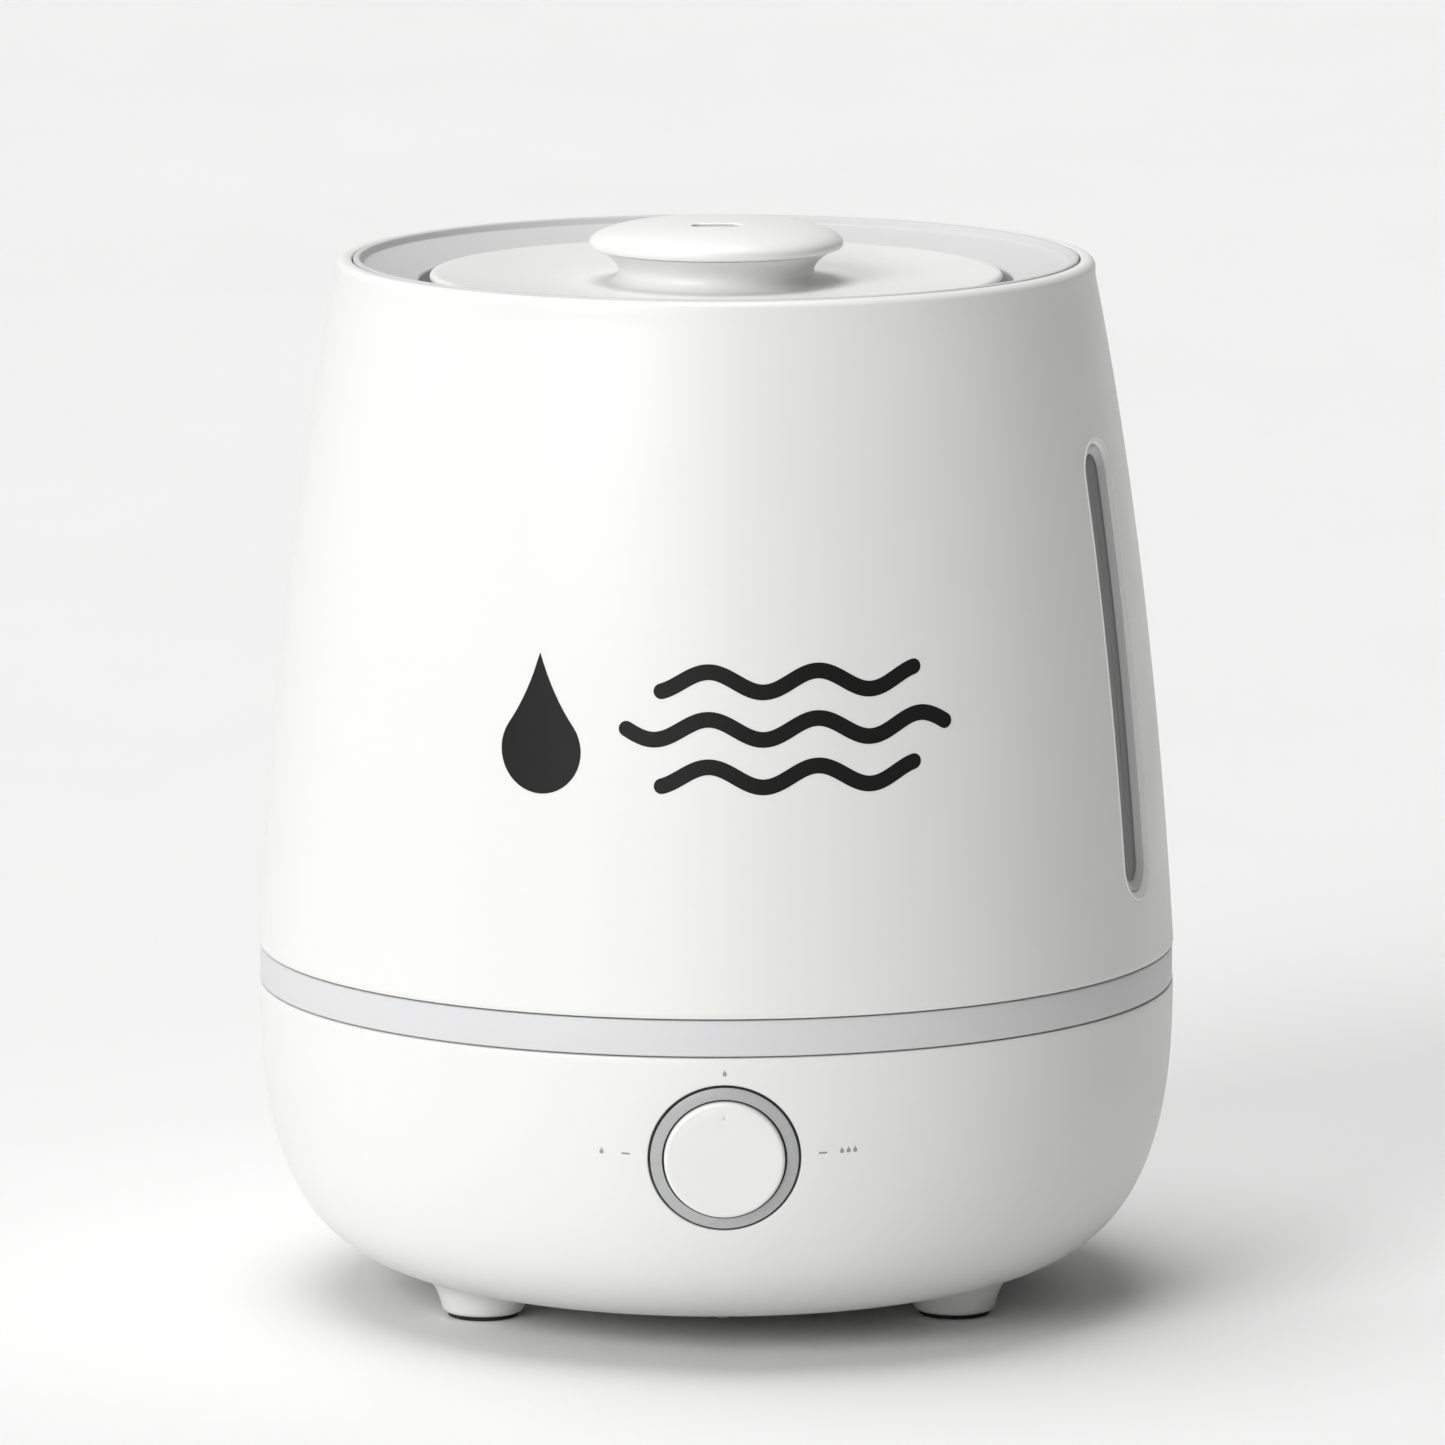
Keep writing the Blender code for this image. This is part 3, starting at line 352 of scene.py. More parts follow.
def wall(skin, rows, patches):
    """Rings of points up a turned wall, leaving out rectangular patches round openings.

    Each row is (radius, height). A patch is (first column, last column, first row, last
    row); the loops round the patches come back in the same order.
    """
    def inside(k, j):
        return any(a < (k - a0) % COLUMNS + a0 < b and c < j < d for a0, a, b, c, d in spans)

    spans = [(a, a, b, c, d) for a, b, c, d in patches]
    grid = []
    for j, (r, z) in enumerate(rows):
        ring = []
        for k in range(COLUMNS):
            angle = 2 * pi * k / COLUMNS
            hidden = inside(k, j)
            ring.append(None if hidden else skin.add((r * cos(angle), r * sin(angle), z)))
        grid.append(ring)
    for j in range(len(rows) - 1):
        for k in range(COLUMNS):
            if any((k - a) % COLUMNS < b - a and c <= j < d for a, b, c, d in patches):
                continue
            n = (k + 1) % COLUMNS
            skin.faces.append((grid[j][k], grid[j][n], grid[j + 1][n], grid[j + 1][k]))
    loops = []
    for a, b, c, d in patches:
        border = [(k, c) for k in range(a, b)] + [(b, j) for j in range(c, d)]
        border += [(k, d) for k in range(b, a, -1)] + [(a, j) for j in range(d, c, -1)]
        loops.append([grid[j][k % COLUMNS] for k, j in border])
    return grid[0], grid[-1], loops


def patch_for(rows, angle, half_width, lowest, highest):
    """Columns and rows of a patch round an opening: angle in degrees, heights in mm."""
    middle = round(angle / 360 * COLUMNS)
    heights = [z for _, z in rows]
    order = sorted(range(len(rows)), key=lambda j: heights[j])
    below = max((j for j in order if heights[j] <= lowest), key=lambda j: heights[j])
    above = min((j for j in order if heights[j] >= highest), key=lambda j: heights[j])
    return (middle - half_width, middle + half_width, min(below, above), max(below, above))


# ---------------------------------------------------------------- materials

class Look:
    """A node material built round one Principled shader."""

    def __init__(self, name, colour, roughness, metallic=0.0):
        self.material = bpy.data.materials.new(name)
        self.material.use_nodes = True
        self.tree = self.material.node_tree
        self.shader = self.tree.nodes["Principled BSDF"]
        self.colour = colour
        self.roughness = roughness
        self.shader.inputs["Base Color"].default_value = (*colour, 1.0)
        self.shader.inputs["Roughness"].default_value = roughness
        self.shader.inputs["Metallic"].default_value = metallic
        self.where = self.tree.nodes.new("ShaderNodeTexCoord").outputs["Object"]
        self.height = None

    def noise(self, scale, detail=3.0, stretch=(1, 1, 1)):
        mapping = self.tree.nodes.new("ShaderNodeMapping")
        mapping.inputs["Scale"].default_value = stretch
        self.tree.links.new(self.where, mapping.inputs["Vector"])
        noise = self.tree.nodes.new("ShaderNodeTexNoise")
        noise.inputs["Scale"].default_value = scale
        noise.inputs["Detail"].default_value = detail
        self.tree.links.new(mapping.outputs["Vector"], noise.inputs["Vector"])
        return noise.outputs["Fac"]

    def cells(self, scale):
        cells = self.tree.nodes.new("ShaderNodeTexVoronoi")
        cells.inputs["Scale"].default_value = scale
        self.tree.links.new(self.where, cells.inputs["Vector"])
        return cells.outputs["Distance"]

    def spread(self, value, lowest, highest, inner=0.3):
        """Map the middle of a texture's range to lowest..highest."""
        node = self.tree.nodes.new("ShaderNodeMapRange")
        node.inputs["From Min"].default_value = inner
        node.inputs["From Max"].default_value = 1.0 - inner
        node.inputs["To Min"].default_value = lowest
        node.inputs["To Max"].default_value = highest
        self.tree.links.new(value, node.inputs["Value"])
        return node.outputs["Result"]

    def vary_colour(self, value, darker, inner=0.3):
        """Mix between the base colour and a slightly different one by a texture."""
        mix = self.tree.nodes.new("ShaderNodeMix")
        mix.data_type = "RGBA"
        mix.inputs["A"].default_value = (*self.colour, 1.0)
        mix.inputs["B"].default_value = (*darker, 1.0)
        self.tree.links.new(self.spread(value, 0.0, 1.0, inner), mix.inputs["Factor"])
        self.tree.links.new(mix.outputs["Result"], self.shader.inputs["Base Color"])

    def vary_roughness(self, value, amount, inner=0.3):
        out = self.spread(value, self.roughness - amount, self.roughness + amount, inner)
        self.tree.links.new(out, self.shader.inputs["Roughness"])

    def bump(self, value, strength, distance):
        bump = self.tree.nodes.new("ShaderNodeBump")
        bump.inputs["Strength"].default_value = strength
        bump.inputs["Distance"].default_value = distance * MM
        self.tree.links.new(value, bump.inputs["Height"])
        if self.height is not None:
            self.tree.links.new(self.height, bump.inputs["Normal"])
        self.height = bump.outputs["Normal"]
        self.tree.links.new(self.height, self.shader.inputs["Normal"])


def scaled(colour, factor):
    return tuple(min(c * factor, 1.0) for c in colour)


def moulded(name, colour, roughness, grain=0.25, specular=0.5):
    """Moulded plastic: a fine spark-eroded grain, faint flow marks and a handled sheen."""
    look = Look(name, colour, roughness)
    look.shader.inputs["Specular IOR Level"].default_value = specular
    look.vary_colour(look.noise(14.0, 4.0, (1, 1, 0.4)), scaled(colour, 0.975))
    look.vary_roughness(look.noise(38.0, 5.0), 0.05)
    look.bump(look.noise(26.0, 2.0, (1, 1, 0.3)), 0.10, 0.12)
    look.bump(look.noise(2600.0, 3.0), grain, 0.02)
    return look.material


def rubber(name, colour, roughness=0.75, contrast=1.7, grain=0.3):
    """Rubber or silicone with a fine pebbled skin."""
    look = Look(name, colour, roughness)
    look.shader.inputs["Specular IOR Level"].default_value = 0.3
    look.vary_colour(look.noise(220.0, 4.0), scaled(colour, contrast))
    look.vary_roughness(look.noise(60.0), 0.1)
    look.bump(look.cells(1500.0), grain, 0.05)
    return look.material


def metal(name, colour, roughness, stretch=(1, 1, 14)):
    """Machined or drawn metal with fine tool lines and dull patches."""
    look = Look(name, colour, roughness, 1.0)
    look.vary_colour(look.noise(90.0, 4.0), scaled(colour, 0.8))
    look.vary_roughness(look.noise(300.0, 4.0, stretch), 0.12)
    look.bump(look.noise(900.0, 3.0, stretch), 0.25, 0.03)
    return look.material


def circuit(name):
    """Solder mask with the copper tracks showing faintly through it."""
    green = (0.012, 0.12, 0.045)
    look = Look(name, green, 0.38)
    brick = look.tree.nodes.new("ShaderNodeTexBrick")
    brick.inputs["Scale"].default_value = 120.0
    brick.inputs["Mortar Size"].default_value = 0.06
    look.tree.links.new(look.where, brick.inputs["Vector"])
    look.vary_colour(brick.outputs["Fac"], (0.03, 0.24, 0.09), inner=0.0)
    look.vary_roughness(look.noise(80.0), 0.08)
    look.bump(brick.outputs["Fac"], 0.4, 0.05)
    return look.material


def foam(name):
    """Open-cell filter foam."""
    look = Look(name, (0.06, 0.06, 0.062), 0.95)
    look.vary_colour(look.cells(900.0), (0.16, 0.16, 0.16), inner=0.1)
    look.vary_roughness(look.noise(200.0), 0.04)
    look.bump(look.cells(900.0), 1.0, 0.6)
    return look.material


def winding(name):
    """Varnished copper wire, wound in fine rows."""
    look = Look(name, (0.52, 0.19, 0.07), 0.32, 1.0)
    look.vary_colour(look.noise(700.0, 2.0), (0.38, 0.12, 0.045))
    look.vary_roughness(look.noise(150.0), 0.1)
    look.bump(look.noise(1800.0, 1.0, (1, 1, 0.1)), 0.8, 0.2)
    return look.material


def smoky(name, shade, roughness, clear):
    """Tinted clear plastic of the level window, with faint scratches."""
    look = Look(name, (shade, shade, shade * 1.01), roughness)
    look.shader.inputs["IOR"].default_value = 1.42
    look.shader.inputs["Transmission Weight"].default_value = clear
    look.vary_colour(look.noise(30.0, 3.0), (shade * 0.93, shade * 0.93, shade * 0.94))
    look.vary_roughness(look.noise(60.0, 2.0, (1, 1, 0.2)), 0.03)
    look.bump(look.noise(700.0, 2.0, (1, 1, 0.05)), 0.04, 0.02)
    return look.material


def floor_look(name):
    look = Look(name, (0.80, 0.80, 0.797), 0.7)
    look.shader.inputs["Specular IOR Level"].default_value = 0.15
    look.vary_colour(look.noise(3.0, 2.0), (0.792, 0.792, 0.789))
    look.vary_roughness(look.noise(20.0), 0.05)
    return look.material


white = moulded("white_plastic_look", (0.785, 0.785, 0.779), 0.38)
cap_white = moulded("cap_plastic_look", (0.82, 0.82, 0.814), 0.36, grain=0.12)
knob_white = moulded("knob_plastic_look", (0.80, 0.80, 0.794), 0.36, grain=0.15)
light_grey = moulded("light_grey_plastic_look", (0.66, 0.661, 0.67), 0.42)
# Light grey plastic of the liner tray, set darker as painted shade for the recess inside the rim.
tray_grey_painted_shade = moulded("tray_plastic_painted_shade_look", (0.60, 0.60, 0.603), 0.45)
bezel_grey = moulded("bezel_plastic_look", (0.42, 0.42, 0.424), 0.28, grain=0.15)
milky = moulded("milky_plastic_look", (0.74, 0.76, 0.77), 0.4, grain=0.1)
black = moulded("black_plastic_look", (0.025, 0.025, 0.027), 0.45)
lead_grey = moulded("grey_insulation_look", (0.4, 0.4, 0.41), 0.5)
red = moulded("red_insulation_look", (0.42, 0.015, 0.015), 0.42)
blue = moulded("float_plastic_look", (0.33, 0.48, 0.6), 0.5)
ink = moulded("pad_print_ink", (0.004, 0.004, 0.004), 0.5, grain=0.2, specular=0.25)
grey_ink = moulded("grey_print_ink", (0.3, 0.3, 0.3), 0.5, grain=0.2)
black_rubber = rubber("black_rubber_look", (0.014, 0.014, 0.014))
silicone = rubber("silicone_look", (0.62, 0.62, 0.6), 0.5, 0.93, 0.05)
steel = metal("steel_look", (0.6, 0.6, 0.61), 0.32)
aluminium = metal("aluminium_look", (0.72, 0.72, 0.73), 0.38)
brass = metal("brass_look", (0.72, 0.53, 0.26), 0.3)
board = circuit("circuit_board_look")
filter_foam = foam("filter_foam_look")
copper = winding("copper_wire_look")
tinted = smoky("smoky_window_look", 0.19, 0.34, 0.15)
# Light grey of the window's border: painted light standing for light falling on the recess's
# chamfer, not a tint of its own.
window_border_painted_light = smoky("window_border_painted_light_look", 0.62, 0.4, 0.1)


# ---------------------------------------------------------------- base

def make_base_shell():
    """The bowl, open under the basin, with a ledge for the bottom cover and two openings."""
    edge = COVER_EDGE + 0.35
    turn_height = 22.0
    outer = [
        (BOWL_RADIUS - 0.5, BOWL_TOP), (BOWL_RADIUS - 0.12, BOWL_TOP - 0.15),
        (BOWL_RADIUS, BOWL_TOP - 0.5)]
    outer += [(bowl_radius(z), z) for z in steps(BOWL_TOP - 2.0, turn_height, 34)]
    outer += [(r, bowl_height(r)) for r in steps(bowl_radius(turn_height), edge, 12)[1:]]
    inner_end = turn_height + 4.0
    inner = [(bowl_radius(z, BOWL_WALL), z) for z in steps(BOWL_TOP - 2.0, inner_end, 30)]
    inner = [(BOWL_RADIUS - BOWL_WALL, BOWL_TOP)] + inner
    skin = Skin()
    skin_drop = onto_turned(bowl_radius)
    inlet_spot = (INLET.x, INLET_FACE, INLET.z)
    openings = (
        Opening(DIAL_CENTRE, ACROSS, DIAL_AXIS, 0.0, DIAL_HOLE, skin_drop),
        Opening(inlet_spot, ACROSS, (0, 1, 0), 0.0, INLET_HOLE, skin_drop))
    limits = ((270, 13, 31.0, 81.0), (90, 7, 31.0, 53.0))
    patches = [patch_for(outer, *limit) for limit in limits]
    top, bottom, loops = wall(skin, outer, patches)
    outer_edges = []
    for loop, opening, lip in zip(loops, openings, (0.55, 0.5)):
        outer_edges.append(cut_opening(skin, loop, opening, lip=lip, depth=0.6))
    patches = [patch_for(inner, *limit) for limit in limits]
    inner_top, inner_bottom, loops = wall(skin, inner, patches)
    inner_edges = []
    for loop, opening in zip(loops, openings):
        inner_edges.append(cut_opening(skin, loop, opening, inset=BOWL_WALL))
    ledge = [
        (edge, 13.4), (76.3, 13.4), (76.0, 13.7), (76.0, 15.7), (76.3, 16.0), (95.5, 16.0)]
    skin.bridge(skin.climb(bottom, ledge), inner_bottom)
    skin.bridge(top, inner_top)
    for opening, first, second in zip(openings, outer_edges, inner_edges):
        join_edges(skin, opening, first, second)
    show("base_shell_moulding", skin, "base", white, ["base_shell"])


def join_edges(skin, opening, first, second):
    """Bridge two loops round one opening that may start at different points."""
    def turn_of(i):
        x, y = opening.flat(skin.points[i])
        return atan2(y, x) % (2 * pi)

    first = sorted(first, key=turn_of)
    second = sorted(second, key=turn_of)
    past_all = 7.0
    i = 0
    j = 0
    while i < len(first) or j < len(second):
        a = first[i % len(first)]
        b = second[j % len(second)]
        next_a = turn_of(first[i + 1]) if i + 1 < len(first) else past_all
        next_b = turn_of(second[j + 1]) if j + 1 < len(second) else past_all
        if j >= len(second) or (i < len(first) and next_a <= next_b):
            skin.faces.append((a, first[(i + 1) % len(first)], b))
            i += 1
        else:
            skin.faces.append((a, second[(j + 1) % len(second)], b))
            j += 1


def make_trim_ring():
    corners = [
        (115.6, 80.0, 0.3), (117.9, 80.0, 0.3), (117.9, BAND_BOTTOM, 0.0),
        (BAND_RADIUS, BAND_BOTTOM, 0.45), (BAND_RADIUS, BAND_TOP, 0.45),
        (117.8, BAND_TOP, 0.4), (117.8, 87.7, 0.0), (115.6, 87.7, 0.2)]
    turned("trim_ring_moulding", softened(corners), "base", light_grey, ["trim_ring"],
           COLUMNS)


def make_bottom_cover():
    """The cover under the bowl, with the intake grille, screw holes and the fan's collar."""
    under = [(0.0, COVER_BOTTOM)]
    under += [(r, bowl_height(r)) for r in steps(20.0, COVER_EDGE - 0.4, 14)]
    rim = [(COVER_EDGE, bowl_height(COVER_EDGE) + 0.35), (COVER_EDGE, 13.1)]
    inside = [(75.7, 13.1), (74.0, 9.4), (0.0, 9.4)]
    piece = turned("bottom_cover_moulding", under + rim + inside, "base", white,
                   ["bottom_cover"], 128)
    holes = Skin()
    slot_pitch = 6.4
    grille_radius = 24.5
    for row in range(-3, 4):
        shift = slot_pitch * row
        reach = sqrt(grille_radius ** 2 - shift ** 2)
        add_stadium(holes, reach, 1.6, 2.0, 12.0, (0, FAN_Y + shift))
    screw_circle = 82.0
    screw_hole = [(0, 4), (3.7, 4), (3.7, 10.9), (1.7, 10.9), (1.7, 15), (0, 15)]
    for angle in (0, 90, 180, 270):
        x = screw_circle * cos(radians(angle))
        y = screw_circle * sin(radians(angle))
        holes.turn(screw_hole, 40, place(x, y))
    carve(piece, holes, "DIFFERENCE")
    posts = Skin()
    posts.turn([(27.8, 8.5), (29.8, 8.5), (29.8, 21.7), (27.8, 21.7)], 96, place(0, FAN_Y))
    carve(piece, posts, "UNION")


def add_stadium(skin, half_length, radius, bottom, top, centre, count=10):
    """A prism whose section is a slot along X with round ends."""
    ring = []
    for end in (1, -1):
        for angle in steps(-90, 90, count):
            turn = radians(angle) if end > 0 else radians(angle + 180)
            x = end * (half_length - radius) + radius * cos(turn)
            ring.append((centre[0] + x, centre[1] + radius * sin(turn)))
    lower = skin.loop((x, y, bottom) for x, y in ring)
    upper = skin.loop((x, y, top) for x, y in ring)
    skin.bridge(lower, upper)
    skin.faces.append(tuple(lower))
    skin.faces.append(tuple(upper))


def carve(piece, skin, operation):
    """Apply an exact Boolean to a piece and drop the tool."""
    tool = bpy.data.objects.new("tool", skin.mesh("tool"))
    bpy.context.scene.collection.objects.link(tool)
    modifier = piece.modifiers.new("tool", "BOOLEAN")
    modifier.operation = operation
    modifier.solver = "EXACT"
    modifier.object = tool
    graph = bpy.context.evaluated_depsgraph_get()
    graph.update()
    result = bpy.data.meshes.new_from_object(piece.evaluated_get(graph))
    result.name = piece.data.name + "_cut"
    piece.modifiers.remove(modifier)
    piece.data = result
    bpy.data.objects.remove(tool, do_unlink=True)
    piece.data.shade_smooth()
    piece.data.set_sharp_from_angle(angle=radians(SHARP_EDGE))


def make_feet():
    """Feet that flare into the underside of the bowl, each on a thin rubber disc."""
    bottom = 1.1
    sink = 0.3
    side = [(9.0, bottom)] + arc((9.1, 2.9), 1.8, -70, -12, 5)
    flare = ((0.2, 11.15), (0.45, 11.6), (0.7, 12.2), (0.88, 12.9), (1.0, 14.0))
    sole = [(0.0, 0.0), (8.6, 0.0), (9.1, 0.15), (9.25, 0.45), (9.1, 0.8), (0.0, 0.8)]

    def under_bowl(x, y):
        return bowl_height(hypot(x, y)) - sink

    for corner in ("front_left", "front_right", "rear_left", "rear_right"):
        node = "foot_" + corner
        pad = "foot_pad_" + corner
        middle = (low(pad) + high(pad)) / 2
        start = side[-1][1]
        skin = Skin()
        rings = [skin.loop(around(middle, r, lambda x, y: z)) for r, z in [(5.0, bottom)] + side]
        for t, r in flare:
            rings.append(skin.loop(around(
                middle, r, lambda x, y: start + (under_bowl(x, y) - start) * t)))
        rings.append(skin.loop(around(middle, 6.0, under_bowl)))
        skin.stack(rings)
        skin.fan(rings[0], skin.add((middle.x, middle.y, bottom)))
        top = under_bowl(middle.x, middle.y)
        skin.fan(rings[-1], skin.add((middle.x, middle.y, top)))
        show(node + "_moulding", skin, "base", white, [node])
        turned(pad + "_disc", sole, "base", black_rubber, [pad], SMALL_SIDES,
               place(middle.x, middle.y))


def around(middle, radius, height_at):
    """Points of a circle about a foot's axis, each at its own height."""
    for k in range(SMALL_SIDES):
        angle = 2 * pi * k / SMALL_SIDES
        x = middle.x + radius * cos(angle)
        y = middle.y + radius * sin(angle)
        yield (x, y, height_at(x, y))


def make_basin():
    """The water trough with its air tower, posts, weir and transducer well."""
    corners = [
        (0, 57.5, 0), (94.8, 57.5, 1.0), (97.0, 59.7, 1.5), (97.0, 88.0, 0.8),
        (117.4, 88.0, 0.2), (117.4, 90.6, 0.5), (94.8, 90.6, 1.2), (94.8, 60.0, 3.0), (0, 60.0, 0)]
    piece = turned("basin_moulding", softened(corners), "base", milky, ["basin"],
                   RING_SIDES)
    posts = Skin()
    foot = 59.5
    air_tower = (14.9, 14.5, 86, 72, place(0, FAN_Y))
    valve_post = (2.6, 2.4, 83.7, 32, place(VALVE.x, VALVE.y))
    float_post = (2.45, 2.35, 82, 32, place(FLOAT.x, FLOAT.y))
    for wide, narrow, top, sides, spot in (air_tower, valve_post, float_post):
        outline = [(0, foot, 0), (wide, foot, 0), (narrow, top, 0.6), (0, top, 0)]
        posts.turn(softened(outline), sides, spot)
    weir = [(22.0, foot, 0), (23.5, foot, 0), (23.5, 66, 0.4), (22.0, 66, 0.4)]
    posts.turn(softened(weir), 96)
    for angle in (0, 180):
        spot = place(16.0 * cos(radians(angle)), 16.0 * sin(radians(angle)))
        posts.rod(3.0, 54.4, 58.5, 24, spot)
    carve(piece, posts, "UNION")
    holes = Skin()
    holes.rod(12.0, 50, 90, 72, place(0, FAN_Y))
    holes.turn([(0, 50), (9.0, 50), (9.0, 59.2), (9.8, 60.4), (9.8, 62), (0, 62)], 64)
    holes.box((-3, -26, 60.5), (3, -20, 70))
    carve(piece, holes, "DIFFERENCE")


def make_float():
    body = [(2.9, 60.5, 0.3), (11.5, 60.5, 1.4), (11.5, 70.5, 1.4), (2.9, 70.5, 0.3)]
    here = place(FLOAT.x, FLOAT.y)
    turned("float_ring", softened(body), "float", blue, ["float_body"],
           SMALL_SIDES, here)
    magnet = [(3.0, 70.8, 0.2), (6.5, 70.8, 0.4), (6.5, 73.0, 0.4), (3.0, 73.0, 0.2)]
    turned("float_magnet_ring", softened(magnet), "float", black, ["float_magnet"],
           SMALL_SIDES, here)
    clip = [(2.75, 79.0, 0.1), (6.0, 79.0, 0.5), (6.0, 80.5, 0.5), (2.75, 80.5, 0.1)]
    turned("float_clip_ring", softened(clip), "base", milky, ["float_clip"],
           SMALL_SIDES, here)


def make_inlet():
    turn = place(INLET.x, INLET_FACE, INLET.z) @ Matrix.Rotation(radians(-90), 4, "X")
    corners = [
        (3.1, 0, 0.5), (6.0, 0, 0.4), (6.0, -11.0, 0), (8.0, -11.0, 0.3), (8.0, -20.5, 0.3),
        (0, -20.5, 0), (0, -10.5, 0), (3.1, -10.5, 0)]
    turned("power_inlet_barrel", softened(corners), "base", black, ["power_inlet"],
           SMALL_SIDES, turn)
    pin = [(0, -10.4, 0), (1.0, -10.4, 0), (1.0, -1.5, 0.5), (0, -1.5, 0)]
    turned("power_inlet_pin", softened(pin), "base", steel, (), 32, turn)


# ---------------------------------------------------------------- dial

def make_dial():
    """The bezel between two black rings set in its gaps as painted shade, and the knob with a
    dimple for a pointer.
    """
    turn = Matrix((ACROSS, DIAL_UP, DIAL_AXIS)).transposed().to_4x4()
    here = Matrix.Translation(DIAL_CENTRE) @ turn
    bezel = [
        (4.4, -7.2, 0.2), (20.6, -7.2, 0.2), (20.6, -5.2, 0.2), (18.95, -5.2, 0),
        (18.95, -1.15, 0.2), (15.95, -0.45, 0.2), (15.95, -5.2, 0), (4.4, -5.2, 0.2)]
    turned("dial_bezel_ring", softened(bezel), "base", bezel_grey, ["dial_bezel"],
           RING_SIDES, here)
    # Black rings in the gaps round the bezel and the knob: painted shade standing in for the shade
    # down the gaps.
    for name, inner, outer, front in (
            ("dial_outer_gap_shade", 18.95, 19.35, -1.3), ("dial_inner_gap_shade", 15.52, 15.95, -0.95)):
        sleeve = [(inner, -5.1, 0), (outer, -5.1, 0), (outer, front, 0.12), (inner, front, 0.12)]
        turned(name, softened(sleeve, 3), "base", black_rubber, (),
               RING_SIDES, here)
    face = 1.3
    knob = [
        (0, -0.6, 0), (3.3, -0.6, 0), (3.3, -3.4, 0.2), (5.4, -3.4, 0.2), (5.4, -0.3, 0),
        (13.85, -0.3, 0.4), (13.85, -4.6, 0.2), (15.45, -4.6, 0.3), (15.45, face, 1.25)]
    skin = Skin()
    outline = softened(knob, 7)
    hub = skin.add(here @ Vector((0, 0, outline[0][1])))
    rings = [skin.ring(r, z, RING_SIDES, here) for r, z in outline[1:]]
    skin.fan(rings[0], hub)
    skin.stack(rings)

    def flat_face(start, out, inset):
        height = (start - DIAL_CENTRE).dot(out)
        return start + out * (face - height)

    spot = DIAL_CENTRE + DIAL_UP * 11.6
    dimple = Opening(spot, ACROSS, DIAL_AXIS, 0.0, 0.5, flat_face)
    last = cut_opening(skin, rings[-1], dimple, lip=0.12, depth=0.25, rows=6)
    skin.fan(last, skin.add(spot + DIAL_AXIS * 0.9))
    show("dial_knob_cap", skin, "dial", knob_white, ["dial_knob"])


# ---------------------------------------------------------------- tank

def window_opening(extra=0.0):
    """The straight wall of the window's slot, inside its rounded lip."""
    out = Vector((WINDOW.x, WINDOW.y, 0)).normalized()
    return Opening(
        (0, 0, WINDOW.z), (0, 0, 1), out, (WINDOW_LENGTH - WINDOW_WIDTH) / 2,
        WINDOW_WIDTH / 2 - WINDOW_LIP + extra, onto_turned(tank_radius))


def make_tank_shell():
    """The tapered drum with its rolled rim and the slot of the level window."""
    bottom = BAND_TOP + SEAM
    foot = tank_radius(bottom)
    outer = [(foot - 0.5, bottom), (foot - 0.15, bottom + 0.15), (foot, bottom + 0.5)]
    outer += [(tank_radius(z), z) for z in steps(bottom + 1.5, 270.5, 46)]
    inner = [(tank_radius(z, TANK_WALL), z) for z in steps(bottom + 1.5, 266.0, 44)]
    inner = [(foot - TANK_WALL, bottom)] + inner
    angle = (atan2(WINDOW.y, WINDOW.x) * 180 / pi) % 360
    reach = WINDOW_LENGTH / 2 + 8
    limits = (angle, 9, WINDOW.z - reach, WINDOW.z + reach)
    skin = Skin()
    opening = window_opening()
    low_ring, high_ring, loops = wall(skin, outer, [patch_for(outer, *limits)])
    edge = cut_opening(skin, loops[0], opening, lip=WINDOW_LIP, depth=0.2, bead=0.28)
    inner_low, inner_high, loops = wall(skin, inner, [patch_for(inner, *limits)])
    inner_edge = cut_opening(skin, loops[0], opening, inset=TANK_WALL)
    rim = arc((97.2, 272.55), 2.2, 14, 95, 9) + arc((96.05, 274.15), 0.6, 95, 180, 5)
    rim += [(95.45, 273.3), (95.4, 271.0), (95.2, 268.5)]
    skin.bridge(skin.climb(high_ring, rim), inner_high)
    skin.bridge(low_ring, inner_low)
    join_edges(skin, opening, edge, inner_edge)
    show("tank_shell_moulding", skin, "tank", white, ["tank_shell"])


def make_level_window():
    """The window: a border sunk into the slot, round a tinted pane; the border's light grey is
    painted light for its lit chamfer.
    """
    opening = window_opening(-0.06)
    outline = []
    for end, start in ((1, -90), (-1, 90)):
        for a in steps(start, start + 180, 24):
            x = end * opening.reach + opening.radius * cos(radians(a))
            outline.append((x, opening.radius * sin(radians(a))))
        x, y = outline[-1]
        for t in steps(0.0, 1.0, 60)[1:-1]:
            outline.append((x - 2 * end * opening.reach * t, y))

    def ring(shrink, sunk):
        spots = []
        for x, y in outline:
            middle = min(max(x, -opening.reach), opening.reach)
            spots.append(opening.at(middle + (x - middle) * shrink, y * shrink, sunk))
        return skin.loop(spots)

    border = [
        (1.0, 3.1), (1.0, 1.15), (0.975, 0.95), (0.92, 0.95), (0.87, 1.1), (0.7, 1.95),
        (0.66, 2.3), (0.66, 3.1)]
    skin = Skin()
    skin.stack([ring(shrink, sunk) for shrink, sunk in border], closed=True)
    show("level_window_border", skin, "tank", window_border_painted_light, ["level_window"])
    skin = Skin()
    pane = [
        (0.02, 3.0), (0.3, 3.0), (0.655, 3.0), (0.655, 2.3), (0.64, 2.25), (0.4, 2.36), (0.2, 2.4),
        (0.02, 2.4)]
    loops = [ring(shrink, sunk) for shrink, sunk in pane]
    skin.stack(loops)
    skin.faces.append(tuple(loops[0]))
    skin.faces.append(tuple(loops[-1]))
    show("level_window_pane", skin, "tank", tinted, ())


